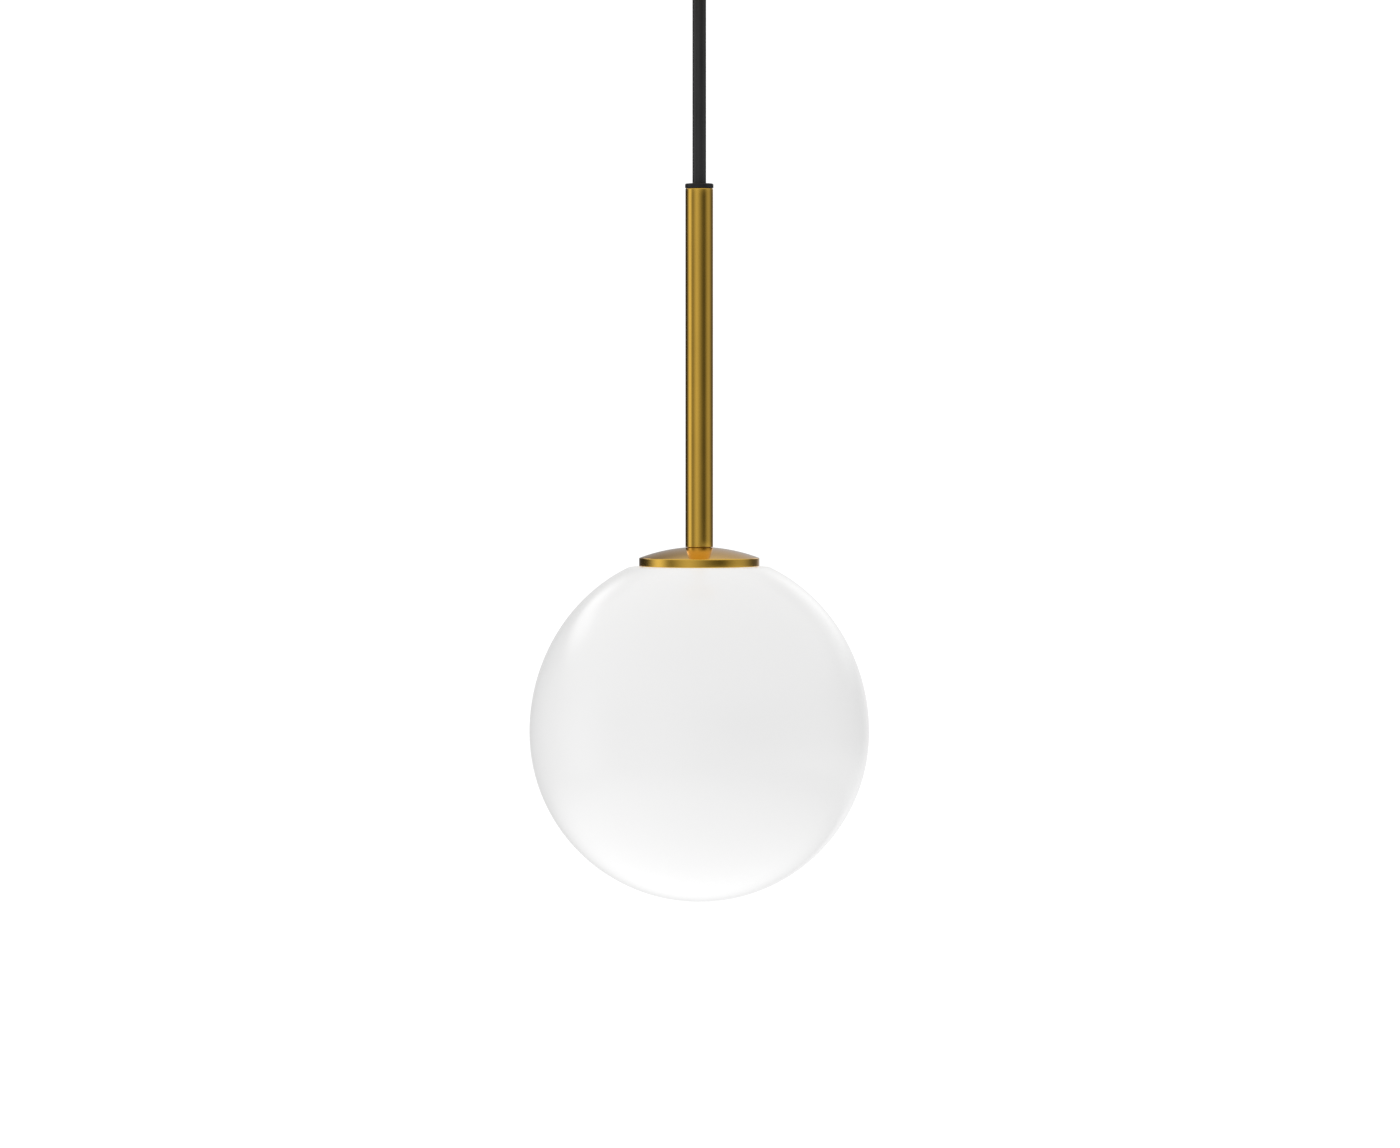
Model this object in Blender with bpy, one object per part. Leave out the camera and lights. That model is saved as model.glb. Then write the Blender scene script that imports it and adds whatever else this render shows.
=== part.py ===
"""Pendant ceiling light: an opal glass globe under a slim brass stem, hung on a round black cord.

The origin is the ceiling, at the top of the mounting bracket. +Z is up, so everything hangs at negative Z.
The pieces are made in the order in which the light is put together, from the ceiling down. Metres throughout.
"""
import math

import bmesh
import bpy
import numpy
from mathutils import Matrix, Vector

# Driving dimensions. GAP is the play between two pieces that touch, PAST is how far a drill runs past a face.
GAP = 0.0003
PAST = 0.0010
CORD_RADIUS = 0.0030
WIRE_RADIUS = 0.0008

# Screws: the radius of a shaft, and of the hole that it goes through.
M3_SHAFT = 0.0015
M3_HOLE = M3_SHAFT + GAP
M2_SHAFT = 0.0011
M2_HOLE = M2_SHAFT + GAP

# Heights of the main pieces, from the ceiling down.
BRACKET_THICKNESS = 0.0015
CANOPY_TOP = -0.0005
CANOPY_BOTTOM = -0.0260
GRIP_MOUTH = -0.0335
SWING_POINT = -0.0340
BUSH_TOP = -0.1295
FLANGE_HEIGHT = 0.0020
RIM_TOP = -0.2943
RIM_BOTTOM = -0.2980
EQUATOR = -0.3711

# Canopy and its bracket.
CANOPY_RADIUS = 0.0500
SHEET = 0.0010
BRACKET_HALF_WIDTH = 0.0150
EAR_HALF_WIDTH = 0.0060
EAR_OUTSIDE = 0.0482
EAR_BOTTOM = -0.0120
CANOPY_SCREW_HEIGHT = -0.0070
SLOT_CENTRE = 0.0340
SLOT_LENGTH = 0.0140
SLOT_RADIUS = 0.00275

# Terminal block: three poles side by side along Y, with the wires entering along X.
POLES = {"live": 0.0, "neutral": -0.0100, "earth": 0.0100}
BLOCK_LOW = Vector((0.0100, -0.0150, -0.0138))
BLOCK_HIGH = Vector((0.0260, 0.0150, -0.0018))
POLE_HEIGHT = -0.0075
TERMINAL_RADIUS = 0.0023
TERMINAL_BORE = 0.0013

# Ring terminals: from the middle of the eye to the end of the tail, and to the end of the crimped barrel.
LUG_TAIL = 0.0052
LUG_BARREL = 0.0045
LUG_LENGTH = LUG_TAIL - PAST + LUG_BARREL
LUG_SHEET = 0.0008

# Stem, cap and globe.
STEM_RADIUS = 0.0061
STEM_BORE = 0.0050
FLANGE_RADIUS = 0.00625
NIPPLE_RADIUS = 0.0047
NIPPLE_BORE = 0.0035
CAP_RADIUS = 0.02655
DOME_RADIUS = 0.0746
DOME_CENTRE = RIM_TOP - math.sqrt(DOME_RADIUS ** 2 - CAP_RADIUS ** 2)
GLOBE_RADIUS = 0.0750
GLOBE_UPPER_HEIGHT = 0.0800
GLASS = 0.0025
SEAT_HEIGHT = 0.0728
NECK_HEIGHT = 0.0037
NECK_RADIUS = 0.0210
NECK_BORE = 0.0185

# Lampholder and the two-pin capsule lamp.
HUB_TOP = -0.2917
HUB_SHEET = 0.0006
STRAP_SHEET = 0.0012
STRAP_TOP = HUB_TOP - HUB_SHEET - GAP
STRAP_HALF_WIDTH = 0.0060
LEG_INSIDE = 0.0090
FOOT_END = 0.0155
HOLDER_TOP = -0.3135
HOLDER_BOTTOM = -0.3345
PIN_SPACING = 0.0045
HOLDER_SCREW_X = 0.0125
BASE_TOP = HOLDER_BOTTOM - GAP
BASE_BOTTOM = -0.3468
ENVELOPE_BOTTOM = -0.3845
ENVELOPE_RADIUS = 0.0075

BRASS = ("brass", (0.60, 0.40, 0.14), 0.25, 1.0)
STEEL = ("zinc_steel", (0.62, 0.63, 0.65), 0.35, 1.0)
BLACK_PLASTIC = ("black_plastic", (0.025, 0.025, 0.028), 0.45, 0.0)
BLACK_SHEATH = ("black_sheath", (0.030, 0.030, 0.032), 0.55, 0.0)
NATURAL_PLASTIC = ("natural_plastic", (0.78, 0.77, 0.72), 0.40, 0.0)
CERAMIC = ("ceramic", (0.86, 0.84, 0.80), 0.50, 0.0)
SILICONE = ("silicone", (0.82, 0.82, 0.80), 0.60, 0.0)
OPAL_GLASS = ("opal_glass", (0.90, 0.90, 0.90), 0.08, 0.0)
CLEAR_GLASS = ("lamp_glass", (0.92, 0.92, 0.90), 0.10, 0.0)
BOARD = ("lamp_board", (0.85, 0.78, 0.35), 0.50, 0.0)
WIRE_COLOURS = {
    "live": ("brown_wire", (0.20, 0.07, 0.03), 0.45, 0.0),
    "neutral": ("blue_wire", (0.04, 0.16, 0.50), 0.45, 0.0),
    "earth": ("green_yellow_wire", (0.35, 0.55, 0.08), 0.45, 0.0),
}


def finish_of(finish):
    """A Principled material for one finish: its name, colour, roughness and metallic value."""
    name, colour, roughness, metallic = finish
    if name in bpy.data.materials:
        return bpy.data.materials[name]
    material = bpy.data.materials.new(name)
    material.use_nodes = True
    shader = material.node_tree.nodes["Principled BSDF"]
    shader.inputs["Base Color"].default_value = (*colour, 1.0)
    shader.inputs["Roughness"].default_value = roughness
    shader.inputs["Metallic"].default_value = metallic
    return material


def place(name, bm, finish, smooth=False, matrix=None):
    """Turn a bmesh into a named object, moved by the matrix, with its faces pointing outwards."""
    if matrix is not None:
        bmesh.ops.transform(bm, matrix=matrix, verts=bm.verts)
    bmesh.ops.recalc_face_normals(bm, faces=bm.faces)
    mesh = bpy.data.meshes.new(name)
    bm.to_mesh(mesh)
    bm.free()
    if smooth:
        mesh.shade_smooth()
        mesh.set_sharp_from_angle(angle=math.radians(35))
    if finish:
        mesh.materials.append(finish_of(finish))
    piece = bpy.data.objects.new(name, mesh)
    bpy.context.scene.collection.objects.link(piece)
    return piece


def arc(centre, radii, start, end, steps):
    """Points (radius, height) along an elliptic arc about the centre, from angle start to end in degrees."""
    points = []
    for angle in numpy.radians(numpy.linspace(start, end, steps + 1)):
        points.append((centre[0] + radii[0] * math.cos(angle), centre[1] + radii[1] * math.sin(angle)))
    return points


def turned(name, profile, finish, segments=24, closed=True, matrix=None):
    """Spin a profile of (radius, height) points about Z. An open profile starts and ends on the axis."""
    bm = bmesh.new()
    verts = [bm.verts.new((radius, 0.0, height)) for radius, height in profile]
    pairs = list(zip(verts, verts[1:]))
    if closed:
        pairs.append((verts[-1], verts[0]))
    edges = [bm.edges.new(pair) for pair in pairs]
    bmesh.ops.spin(bm, geom=verts + edges, cent=(0, 0, 0), axis=(0, 0, 1), angle=2 * math.pi, steps=segments,
                   use_merge=True, use_normal_flip=False, use_duplicate=False)
    bmesh.ops.remove_doubles(bm, verts=bm.verts, dist=1e-7)
    return place(name, bm, finish, smooth=True, matrix=matrix)


def ring(name, inner, outer, top, bottom, finish, segments=24, matrix=None):
    """A plain turned ring or tube."""
    profile = [(inner, top), (outer, top), (outer, bottom), (inner, bottom)]
    return turned(name, profile, finish, segments, matrix=matrix)


def rod(name, radius, top, bottom, finish, segments=16, matrix=None):
    """A plain solid cylinder on the Z axis, before the matrix moves it."""
    profile = [(0.0, top), (radius, top), (radius, bottom), (0.0, bottom)]
    return turned(name, profile, finish, segments, closed=False, matrix=matrix)


def extruded(name, outline, depth, finish, bevel=0.0, matrix=None):
    """Extrude an outline in the XY plane upwards by depth, with its edges softened by bevel."""
    bm = bmesh.new()
    face = bm.faces.new([bm.verts.new((x, y, 0.0)) for x, y in outline])
    result = bmesh.ops.extrude_face_region(bm, geom=[face])
    raised = [item for item in result["geom"] if isinstance(item, bmesh.types.BMVert)]
    bmesh.ops.translate(bm, verts=raised, vec=(0, 0, depth))
    piece = place(name, bm, finish, matrix=matrix)
    if bevel:
        modifier = piece.modifiers.new("Softened edges", "BEVEL")
        modifier.width = bevel
        modifier.segments = 2
        modifier.limit_method = "ANGLE"
        modifier.angle_limit = math.radians(40)
    return piece


def block(name, low, high, finish, bevel=0.0):
    """A rectangular piece between two corners."""
    outline = [(low[0], low[1]), (high[0], low[1]), (high[0], high[1]), (low[0], high[1])]
    return extruded(name, outline, high[2] - low[2], finish, bevel, Matrix.Translation((0, 0, low[2])))


def cutter(piece):
    """Mark a piece as a tool that only cuts or joins others."""
    piece.hide_render = True
    piece.display_type = "WIRE"
    return piece


def combine(piece, tool, operation="DIFFERENCE"):
    """Cut the piece with the tool, or join the tool to it."""
    modifier = piece.modifiers.new(tool.name, "BOOLEAN")
    modifier.operation = operation
    modifier.solver = "EXACT"
    modifier.object = cutter(tool)


def drill(piece, radius, start, end, segments=16):
    """Drill a round hole through the piece between two points."""
    start = Vector(start)
    along = Vector(end) - start
    matrix = Matrix.Translation(start) @ along.to_track_quat("Z", "Y").to_matrix().to_4x4()
    name = f"{piece.name}_hole_{len(piece.modifiers)}"
    combine(piece, rod(name, radius, along.length, 0.0, None, segments, matrix))


def smooth_route(points, spacing):
    """Points every spacing metres or so along a smooth curve through the given points.

    Each stretch is a Catmull-Rom curve: a cubic whose slope at a point is half the step between the
    points on either side of it.
    """
    route = [Vector(point) for point in points]
    ends = [2 * route[0] - route[1]] + route + [2 * route[-1] - route[-2]]
    fine = []
    for before, first, second, after in zip(ends, ends[1:], ends[2:], ends[3:]):
        for t in numpy.linspace(0.0, 1.0, 20, endpoint=False):
            fine.append(0.5 * (2 * first + (second - before) * t
                               + (2 * before - 5 * first + 4 * second - after) * t ** 2
                               + (3 * first - before - 3 * second + after) * t ** 3))
    fine.append(route[-1])
    travelled = [0.0]
    for here, there in zip(fine, fine[1:]):
        travelled.append(travelled[-1] + (there - here).length)
    count = max(2, round(travelled[-1] / spacing) + 1)
    wanted = numpy.linspace(0.0, travelled[-1], count)
    columns = [numpy.interp(wanted, travelled, [point[axis] for point in fine]) for axis in range(3)]
    return list(zip(*columns))


def cord(name, points, radius, finish, resolution=2, spacing=3.0):
    """A round cord along a smooth route, with a point every few diameters and filled ends."""
    curve = bpy.data.curves.new(name, "CURVE")
    curve.dimensions = "3D"
    curve.bevel_depth = radius
    curve.bevel_resolution = resolution
    curve.use_fill_caps = True
    spline = curve.splines.new("POLY")
    route = smooth_route(points, spacing * 2 * radius)
    spline.points.add(len(route) - 1)
    for point, position in zip(spline.points, route):
        point.co = (*position, 1.0)
    curve.materials.append(finish_of(finish))
    piece = bpy.data.objects.new(name, curve)
    bpy.context.scene.collection.objects.link(piece)
    return piece


def screw(name, head_radius, head_height, shaft_radius, shaft_length, finish, matrix):
    """A pan-head screw whose head sits under the XY plane and whose shaft points up along +Z."""
    soft = head_height * 0.35
    profile = [(0.0, -head_height), (head_radius - soft, -head_height), (head_radius, -head_height + soft),
               (head_radius, 0.0), (shaft_radius, 0.0), (shaft_radius, shaft_length), (0.0, shaft_length)]
    return turned(name, profile, finish, 12, closed=False, matrix=matrix)


def facing(direction, position):
    """A matrix that turns +Z to the direction and moves the origin to the position."""
    turn = Vector(direction).to_track_quat("Z", "Y").to_matrix().to_4x4()
    return Matrix.Translation(position) @ turn


def ring_lug(name, matrix):
    """A ring terminal: a flat eye in the XY plane with a tail along +Y that ends in a crimped barrel."""
    eye, tail_half, barrel = 0.0032, 0.0014, 0.0013
    join = math.degrees(math.acos(tail_half / eye))
    outline = arc((0, 0), (eye, eye), 180 - join, 360 + join, 20)
    outline += [(tail_half, LUG_TAIL), (-tail_half, LUG_TAIL)]
    lug = extruded(name, outline, LUG_SHEET, STEEL, matrix=matrix)
    raised = barrel + 0.0001
    tube = matrix @ facing((0, 1, 0), (0, LUG_TAIL - PAST, raised))
    combine(lug, rod(name + "_barrel", barrel, LUG_BARREL, 0.0, None, 12, tube), "UNION")
    drill(lug, M3_HOLE, matrix @ Vector((0, 0, -PAST)), matrix @ Vector((0, 0, LUG_SHEET + 2 * PAST)))


def ceiling_bracket():
    """Folded steel strap: a plate with two slots, narrowed at both ends into ears turned down."""
    taper_start, taper_end = 0.0300, 0.0430
    right_end = [(taper_start, -BRACKET_HALF_WIDTH), (taper_end, -EAR_HALF_WIDTH)]
    right_end += [(EAR_OUTSIDE, -EAR_HALF_WIDTH)]
    right_end += [(x, -y) for x, y in reversed(right_end)]
    outline = right_end + [(-x, -y) for x, y in right_end]
    plate = extruded("ceiling_bracket", outline, BRACKET_THICKNESS, STEEL,
                     matrix=Matrix.Translation((0, 0, -BRACKET_THICKNESS)))
    for number, side in enumerate((1, -1), 1):
        inside = EAR_OUTSIDE - BRACKET_THICKNESS
        low = (min(side * inside, side * EAR_OUTSIDE), -EAR_HALF_WIDTH, EAR_BOTTOM)
        high = (max(side * inside, side * EAR_OUTSIDE), EAR_HALF_WIDTH, -BRACKET_THICKNESS / 2)
        combine(plate, block(f"ear_{number}", low, high, None), "UNION")
        drill(plate, M3_HOLE, (side * (inside - PAST), 0, CANOPY_SCREW_HEIGHT),
              (side * (EAR_OUTSIDE + PAST), 0, CANOPY_SCREW_HEIGHT))
        reach = SLOT_LENGTH / 2 - SLOT_RADIUS
        slot = arc((SLOT_CENTRE * side + reach, 0), (SLOT_RADIUS, SLOT_RADIUS), -90, 90, 8)
        slot += arc((SLOT_CENTRE * side - reach, 0), (SLOT_RADIUS, SLOT_RADIUS), 90, 270, 8)
        under = Matrix.Translation((0, 0, -BRACKET_THICKNESS - PAST))
        combine(plate, extruded(f"slot_{number}", slot, BRACKET_THICKNESS + 2 * PAST, None, matrix=under))
    return plate


def terminal_block(bracket):
    """Three-pole block under the bracket: brass tubes in through channels, two clamp screws in each."""
    body = block("terminal_block", BLOCK_LOW, BLOCK_HIGH, NATURAL_PLASTIC, bevel=0.0005)
    middle = (BLOCK_LOW.x + BLOCK_HIGH.x) / 2
    inset = 0.0015
    screw_spacing = 0.0080
    clamp_length = 0.0030
    number = 0
    for pole, y in POLES.items():
        drill(body, TERMINAL_RADIUS + GAP, (BLOCK_LOW.x - PAST, y, POLE_HEIGHT),
              (BLOCK_HIGH.x + PAST, y, POLE_HEIGHT))
        length = BLOCK_HIGH.x - BLOCK_LOW.x - 2 * inset
        tube = ring(f"terminal_{pole}", TERMINAL_BORE, TERMINAL_RADIUS, length, 0.0, BRASS, 16,
                    facing((1, 0, 0), (BLOCK_LOW.x + inset, y, POLE_HEIGHT)))
        for x in (middle - screw_spacing / 2, middle + screw_spacing / 2):
            number += 1
            drill(body, M3_HOLE, (x, y, BLOCK_LOW.z - PAST), (x, y, POLE_HEIGHT), 12)
            drill(tube, M2_HOLE, (x, y, POLE_HEIGHT - TERMINAL_RADIUS - PAST), (x, y, POLE_HEIGHT), 12)
            screw(f"terminal_screw_{number}", 0.0015, 0.0012, M2_SHAFT, clamp_length, STEEL,
                  Matrix.Translation((x, y, POLE_HEIGHT - 0.0014 - clamp_length)))
    under = BLOCK_LOW.z - GAP
    for number, y in enumerate((POLES["neutral"] / 2, POLES["earth"] / 2), 1):
        drill(body, M2_HOLE, (middle, y, BLOCK_LOW.z - PAST), (middle, y, BLOCK_HIGH.z + PAST), 12)
        drill(bracket, M2_HOLE, (middle, y, -BRACKET_THICKNESS - PAST), (middle, y, PAST), 12)
        screw(f"block_screw_{number}", 0.0020, 0.0014, M2_SHAFT, -under - 3 * GAP, STEEL,
              Matrix.Translation((middle, y, under)))


def earth_point(bracket):
    """Earth screw and ring lug under the bracket, with a link wire to the block's earth pole."""
    x, y = -0.0140, 0.0070
    drill(bracket, M3_HOLE, (x, y, -BRACKET_THICKNESS - PAST), (x, y, PAST), 12)
    turn = Matrix.Rotation(math.pi, 4, "Y")
    under = -BRACKET_THICKNESS - GAP
    ring_lug("earth_lug", Matrix.Translation((x, y, under)) @ turn)
    seat = under - LUG_SHEET - GAP
    screw("earth_screw", 0.0030, 0.0020, M3_SHAFT, -seat - 0.0005, STEEL, Matrix.Translation((x, y, seat)))
    barrel_end = y + LUG_LENGTH + 0.0005
    route = [(BLOCK_HIGH.x - 0.0012, POLES["earth"], POLE_HEIGHT), (0.0310, 0.0102, -0.0074),
             (0.0345, 0.0150, -0.0068), (0.0300, 0.0205, -0.0060), (0.0160, 0.0225, -0.0052),
             (0.0000, 0.0235, -0.0042), (-0.0100, 0.0222, -0.0034), (x, barrel_end + 0.0022, -0.0031),
             (x, barrel_end, -0.0031)]
    cord("earth_link", route, WIRE_RADIUS, WIRE_COLOURS["earth"])


def canopy():
    """Cup-shaped cover, hung on the bracket's side screws by two slots that are open at its top edge."""
    wall, corner = SHEET, 0.0030
    outside = arc((CANOPY_RADIUS - corner, CANOPY_BOTTOM + corner), (corner, corner), -90, 0, 4)
    inner = corner - wall
    inside = arc((CANOPY_RADIUS - corner, CANOPY_BOTTOM + corner), (inner, inner), 0, -90, 3)
    hole = 0.0052
    profile = [(hole, CANOPY_BOTTOM)] + outside
    profile += [(CANOPY_RADIUS, CANOPY_TOP), (CANOPY_RADIUS - wall, CANOPY_TOP)]
    profile += inside + [(hole, CANOPY_BOTTOM + wall)]
    cover = turned("canopy_cover", profile, BRASS, 44)
    for number, side in enumerate((1, -1), 1):
        slot = arc((0, CANOPY_SCREW_HEIGHT), (M3_HOLE, M3_HOLE), 180, 360, 6)
        slot += [(M3_HOLE, 2 * PAST), (-M3_HOLE, 2 * PAST)]
        turn = Matrix.Rotation(math.pi / 2, 4, "Z") @ Matrix.Rotation(math.pi / 2, 4, "X")
        matrix = Matrix.Translation((side * (CANOPY_RADIUS - 0.0005) - 0.002, 0, 0)) @ turn
        combine(cover, extruded(f"cover_slot_{number}", slot, 0.004, None, matrix=matrix))
        position = (side * (CANOPY_RADIUS + GAP), 0, CANOPY_SCREW_HEIGHT)
        screw(f"canopy_screw_{number}", 0.0028, 0.0022, M3_SHAFT, 0.0070, BRASS,
              facing((-side, 0, 0), position))


def cord_grip():
    """Plastic grip through the cover: a bell-mouthed body, a nut above the cover and a screw on the cord."""
    bore, shank, body, flare = CORD_RADIUS + GAP, 0.0049, 0.0075, 0.0028
    top, flange = -0.0197, CANOPY_BOTTOM - GAP
    mouth = arc((bore + flare, GRIP_MOUTH + flare), (flare, flare), 270, 180, 5)
    profile = [(bore, top), (shank, top), (shank, flange), (body, flange), (body, GRIP_MOUTH + 0.0012),
               (body - 0.0010, GRIP_MOUTH)] + mouth
    grip = turned("cord_grip", profile, BLACK_PLASTIC, 28)
    side_height = -0.0290
    drill(grip, M3_HOLE, (0, 0, side_height), (body + PAST, 0, side_height), 12)
    screw("cord_grip_screw", 0.0015, 0.0010, 0.0013, 0.0034, BLACK_PLASTIC,
          facing((-1, 0, 0), (body - 0.0005, 0, side_height)))
    nut_bottom = CANOPY_BOTTOM + SHEET + GAP
    hexagon("cord_grip_nut", 0.0070, shank + GAP, nut_bottom, 0.0030, BLACK_PLASTIC)
    cord("cord_in_canopy", [(0, 0, -0.0175), (0, 0, -0.0312)], CORD_RADIUS, BLACK_SHEATH, 3, 1.2)


def hexagon(name, half_flats, bore, bottom, height, finish):
    """A hexagon nut with its bore."""
    corner = half_flats / math.cos(math.pi / 6)
    outline = arc((0, 0), (corner, corner), 0, 300, 5)
    nut = extruded(name, outline, height, finish, matrix=Matrix.Translation((0, 0, bottom)))
    drill(nut, bore, (0, 0, bottom - PAST), (0, 0, bottom + height + PAST), 24)


def canopy_wires():
    """Three wires with a spare loop each, from the sheath's end to the terminal block."""
    start, rise, entry = -0.0168, -0.0150, BLOCK_LOW.x + 0.0012
    routes = {
        "live": [(-0.0012, 0.0, start), (-0.0012, 0.0, rise), (-0.0085, 0.0, -0.0122),
                 (-0.0200, -0.0040, -0.0114), (-0.0270, 0.0010, -0.0108), (-0.0210, 0.0065, -0.0106),
                 (-0.0080, 0.0035, -0.0098), (0.0030, 0.0002, -0.0080), (entry, 0.0, POLE_HEIGHT)],
        "neutral": [(0.0006, -0.0011, start), (0.0006, -0.0011, rise), (-0.0050, -0.0100, -0.0125),
                    (-0.0160, -0.0160, -0.0120), (-0.0250, -0.0220, -0.0116), (-0.0200, -0.0280, -0.0110),
                    (-0.0080, -0.0240, -0.0100), (0.0020, -0.0140, -0.0080), (entry, -0.0100, POLE_HEIGHT)],
        "earth": [(0.0006, 0.0011, start), (0.0006, 0.0011, rise), (-0.0050, 0.0100, -0.0140),
                  (-0.0160, 0.0160, -0.0135), (-0.0250, 0.0220, -0.0130), (-0.0200, 0.0270, -0.0125),
                  (-0.0080, 0.0230, -0.0115), (0.0020, 0.0140, -0.0090), (entry, 0.0100, POLE_HEIGHT)],
    }
    for pole, route in routes.items():
        cord(f"canopy_wire_{pole}", route, WIRE_RADIUS, WIRE_COLOURS[pole])


def hanging_cord():
    """The free cord between the grip and the stem, and the bead for its bend in the grip's mouth."""
    bead = 0.0024
    turned("cord_flex", arc((0, SWING_POINT), (bead, bead), 90, -90, 8), BLACK_SHEATH, 12, closed=False)
    top = SWING_POINT - bead - GAP
    cord("cord", [(0, 0, top), (0, 0, BUSH_TOP + GAP)], CORD_RADIUS, BLACK_SHEATH, 3)


def stem():
    """Brass tube with a flanged bush in its top, and the cord inside it, down to where its sheath ends."""
    bore, shank, soft = CORD_RADIUS + GAP, 0.0047, 0.0004
    flange_bottom = BUSH_TOP - FLANGE_HEIGHT
    shank_end = flange_bottom - 0.0100
    bush = [(bore, BUSH_TOP), (FLANGE_RADIUS - soft, BUSH_TOP), (FLANGE_RADIUS, BUSH_TOP - soft),
            (FLANGE_RADIUS, flange_bottom), (shank, flange_bottom), (shank, shank_end), (bore, shank_end)]
    turned("stem_bush", bush, BLACK_PLASTIC, 32)
    tube_bottom = DOME_CENTRE + math.sqrt(DOME_RADIUS ** 2 - STEM_BORE ** 2) + GAP
    ring("stem_tube", STEM_BORE, STEM_RADIUS, flange_bottom - GAP, tube_bottom, BRASS, 40)
    stop_top = shank_end - GAP
    ring("cord_stop", bore, 0.0045, stop_top, stop_top - 0.0080, STEEL, 20)
    cord("cord_in_stem", [(0, 0, BUSH_TOP), (0, 0, -0.2620)], CORD_RADIUS, BLACK_SHEATH, 3, 5.0)
    ring("stem_nipple", NIPPLE_BORE, NIPPLE_RADIUS, -0.2750, -0.3010, STEEL, 24)


def globe_cap():
    """Spun brass cap: a shallow dome, flat under its centre, with an upright rim, and the glass's gasket."""
    hole = NIPPLE_RADIUS + GAP

    def dome(radius, shell):
        return (radius, DOME_CENTRE + math.sqrt(shell ** 2 - radius ** 2))

    soft = 0.0003
    boss = 0.0115
    outside = [dome(radius, DOME_RADIUS) for radius in numpy.linspace(hole, CAP_RADIUS - soft, 6)]
    inside = [dome(radius, DOME_RADIUS - SHEET) for radius in numpy.linspace(CAP_RADIUS - SHEET, boss, 5)]
    inside.append((hole, inside[-1][1]))
    rim = [(CAP_RADIUS, RIM_TOP - soft), (CAP_RADIUS, RIM_BOTTOM), (CAP_RADIUS - SHEET, RIM_BOTTOM)]
    turned("globe_cap", outside + rim + inside, BRASS, 48)
    gasket_outside, gasket_top = 0.0250, -0.2957
    ring("globe_gasket", NECK_RADIUS + GAP, gasket_outside, gasket_top, RIM_BOTTOM, SILICONE, 32)


def globe_spring():
    """Spring-steel spider: a hub ring with three legs that go down through the neck and hook out under it."""
    hub, leg_half = 0.0085, 0.0030
    spring = ring("globe_spring", NIPPLE_RADIUS + GAP, hub, HUB_TOP, HUB_TOP - HUB_SHEET, STEEL, 24)
    line = [(hub - 0.0020, HUB_TOP), (0.0118, HUB_TOP), (0.0155, -0.2936), (0.0170, -0.2958),
            (0.0174, -0.3012), (0.0194, -0.3038), (0.0165, -0.3070)]
    outline = line + offset_line(line, HUB_SHEET)[::-1]
    for number, angle in enumerate((90, 210, 330), 1):
        turn = Matrix.Rotation(math.radians(angle), 4, "Z") @ Matrix.Rotation(math.pi / 2, 4, "X")
        matrix = turn @ Matrix.Translation((0, 0, -leg_half))
        combine(spring, extruded(f"spring_leg_{number}", outline, 2 * leg_half, None, matrix=matrix), "UNION")


def offset_line(line, distance):
    """The line moved sideways by the distance, to the right of its direction, with mitred corners."""
    points = [Vector(point) for point in line]
    moved = []
    for index, point in enumerate(points):
        before = (point - points[index - 1]).normalized() if index else None
        after = (points[index + 1] - point).normalized() if index + 1 < len(points) else None
        before, after = before or after, after or before
        along = (before + after).normalized()
        side = Vector((along.y, -along.x))
        moved.append(tuple(point + side * distance / max(0.4, along.dot(after))))
    return moved


def lampholder_strap():
    """Hat-shaped steel strap clamped in the cap by a washer and a nut, with two feet for the lampholder."""
    foot_bottom = HOLDER_TOP + GAP
    foot_top = foot_bottom + STRAP_SHEET
    outer = LEG_INSIDE + STRAP_SHEET
    under = STRAP_TOP - STRAP_SHEET
    right = [(LEG_INSIDE, under), (LEG_INSIDE, foot_bottom), (FOOT_END, foot_bottom), (FOOT_END, foot_top),
             (outer, foot_top), (outer, STRAP_TOP)]
    left = [(-x, z) for x, z in reversed(right)]
    matrix = Matrix.Rotation(math.pi / 2, 4, "X") @ Matrix.Translation((0, 0, -STRAP_HALF_WIDTH))
    strap = extruded("lampholder_strap", right + left, 2 * STRAP_HALF_WIDTH, STEEL, matrix=matrix)
    drill(strap, NIPPLE_RADIUS + GAP, (0, 0, under - PAST), (0, 0, STRAP_TOP + PAST), 24)
    for x in (HOLDER_SCREW_X, -HOLDER_SCREW_X):
        drill(strap, M3_HOLE, (x, 0, foot_bottom - PAST), (x, 0, foot_top + PAST), 12)
    earth_height = -0.3040
    drill(strap, M3_HOLE, (-outer - PAST, 0, earth_height), (-LEG_INSIDE + PAST, 0, earth_height), 12)
    washer_radius, washer_sheet, nut_height = 0.0078, 0.0008, 0.0035
    washer_top = under - GAP
    washer_bottom = washer_top - washer_sheet
    ring("lock_washer", NIPPLE_RADIUS + GAP, washer_radius, washer_top, washer_bottom, STEEL, 24)
    hexagon("hex_nut", 0.0070, NIPPLE_RADIUS + GAP, washer_bottom - GAP - nut_height, nut_height, BRASS)
    lug_face = -outer - GAP
    lug = facing((-1, 0, 0), (lug_face, 0, earth_height)) @ Matrix.Rotation(math.radians(90), 4, "Z")
    ring_lug("strap_lug", lug)
    screw("strap_earth_screw", 0.0027, 0.0016, M3_SHAFT, 0.0050, STEEL,
          facing((1, 0, 0), (lug_face - LUG_SHEET - GAP, 0, earth_height)))


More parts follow.
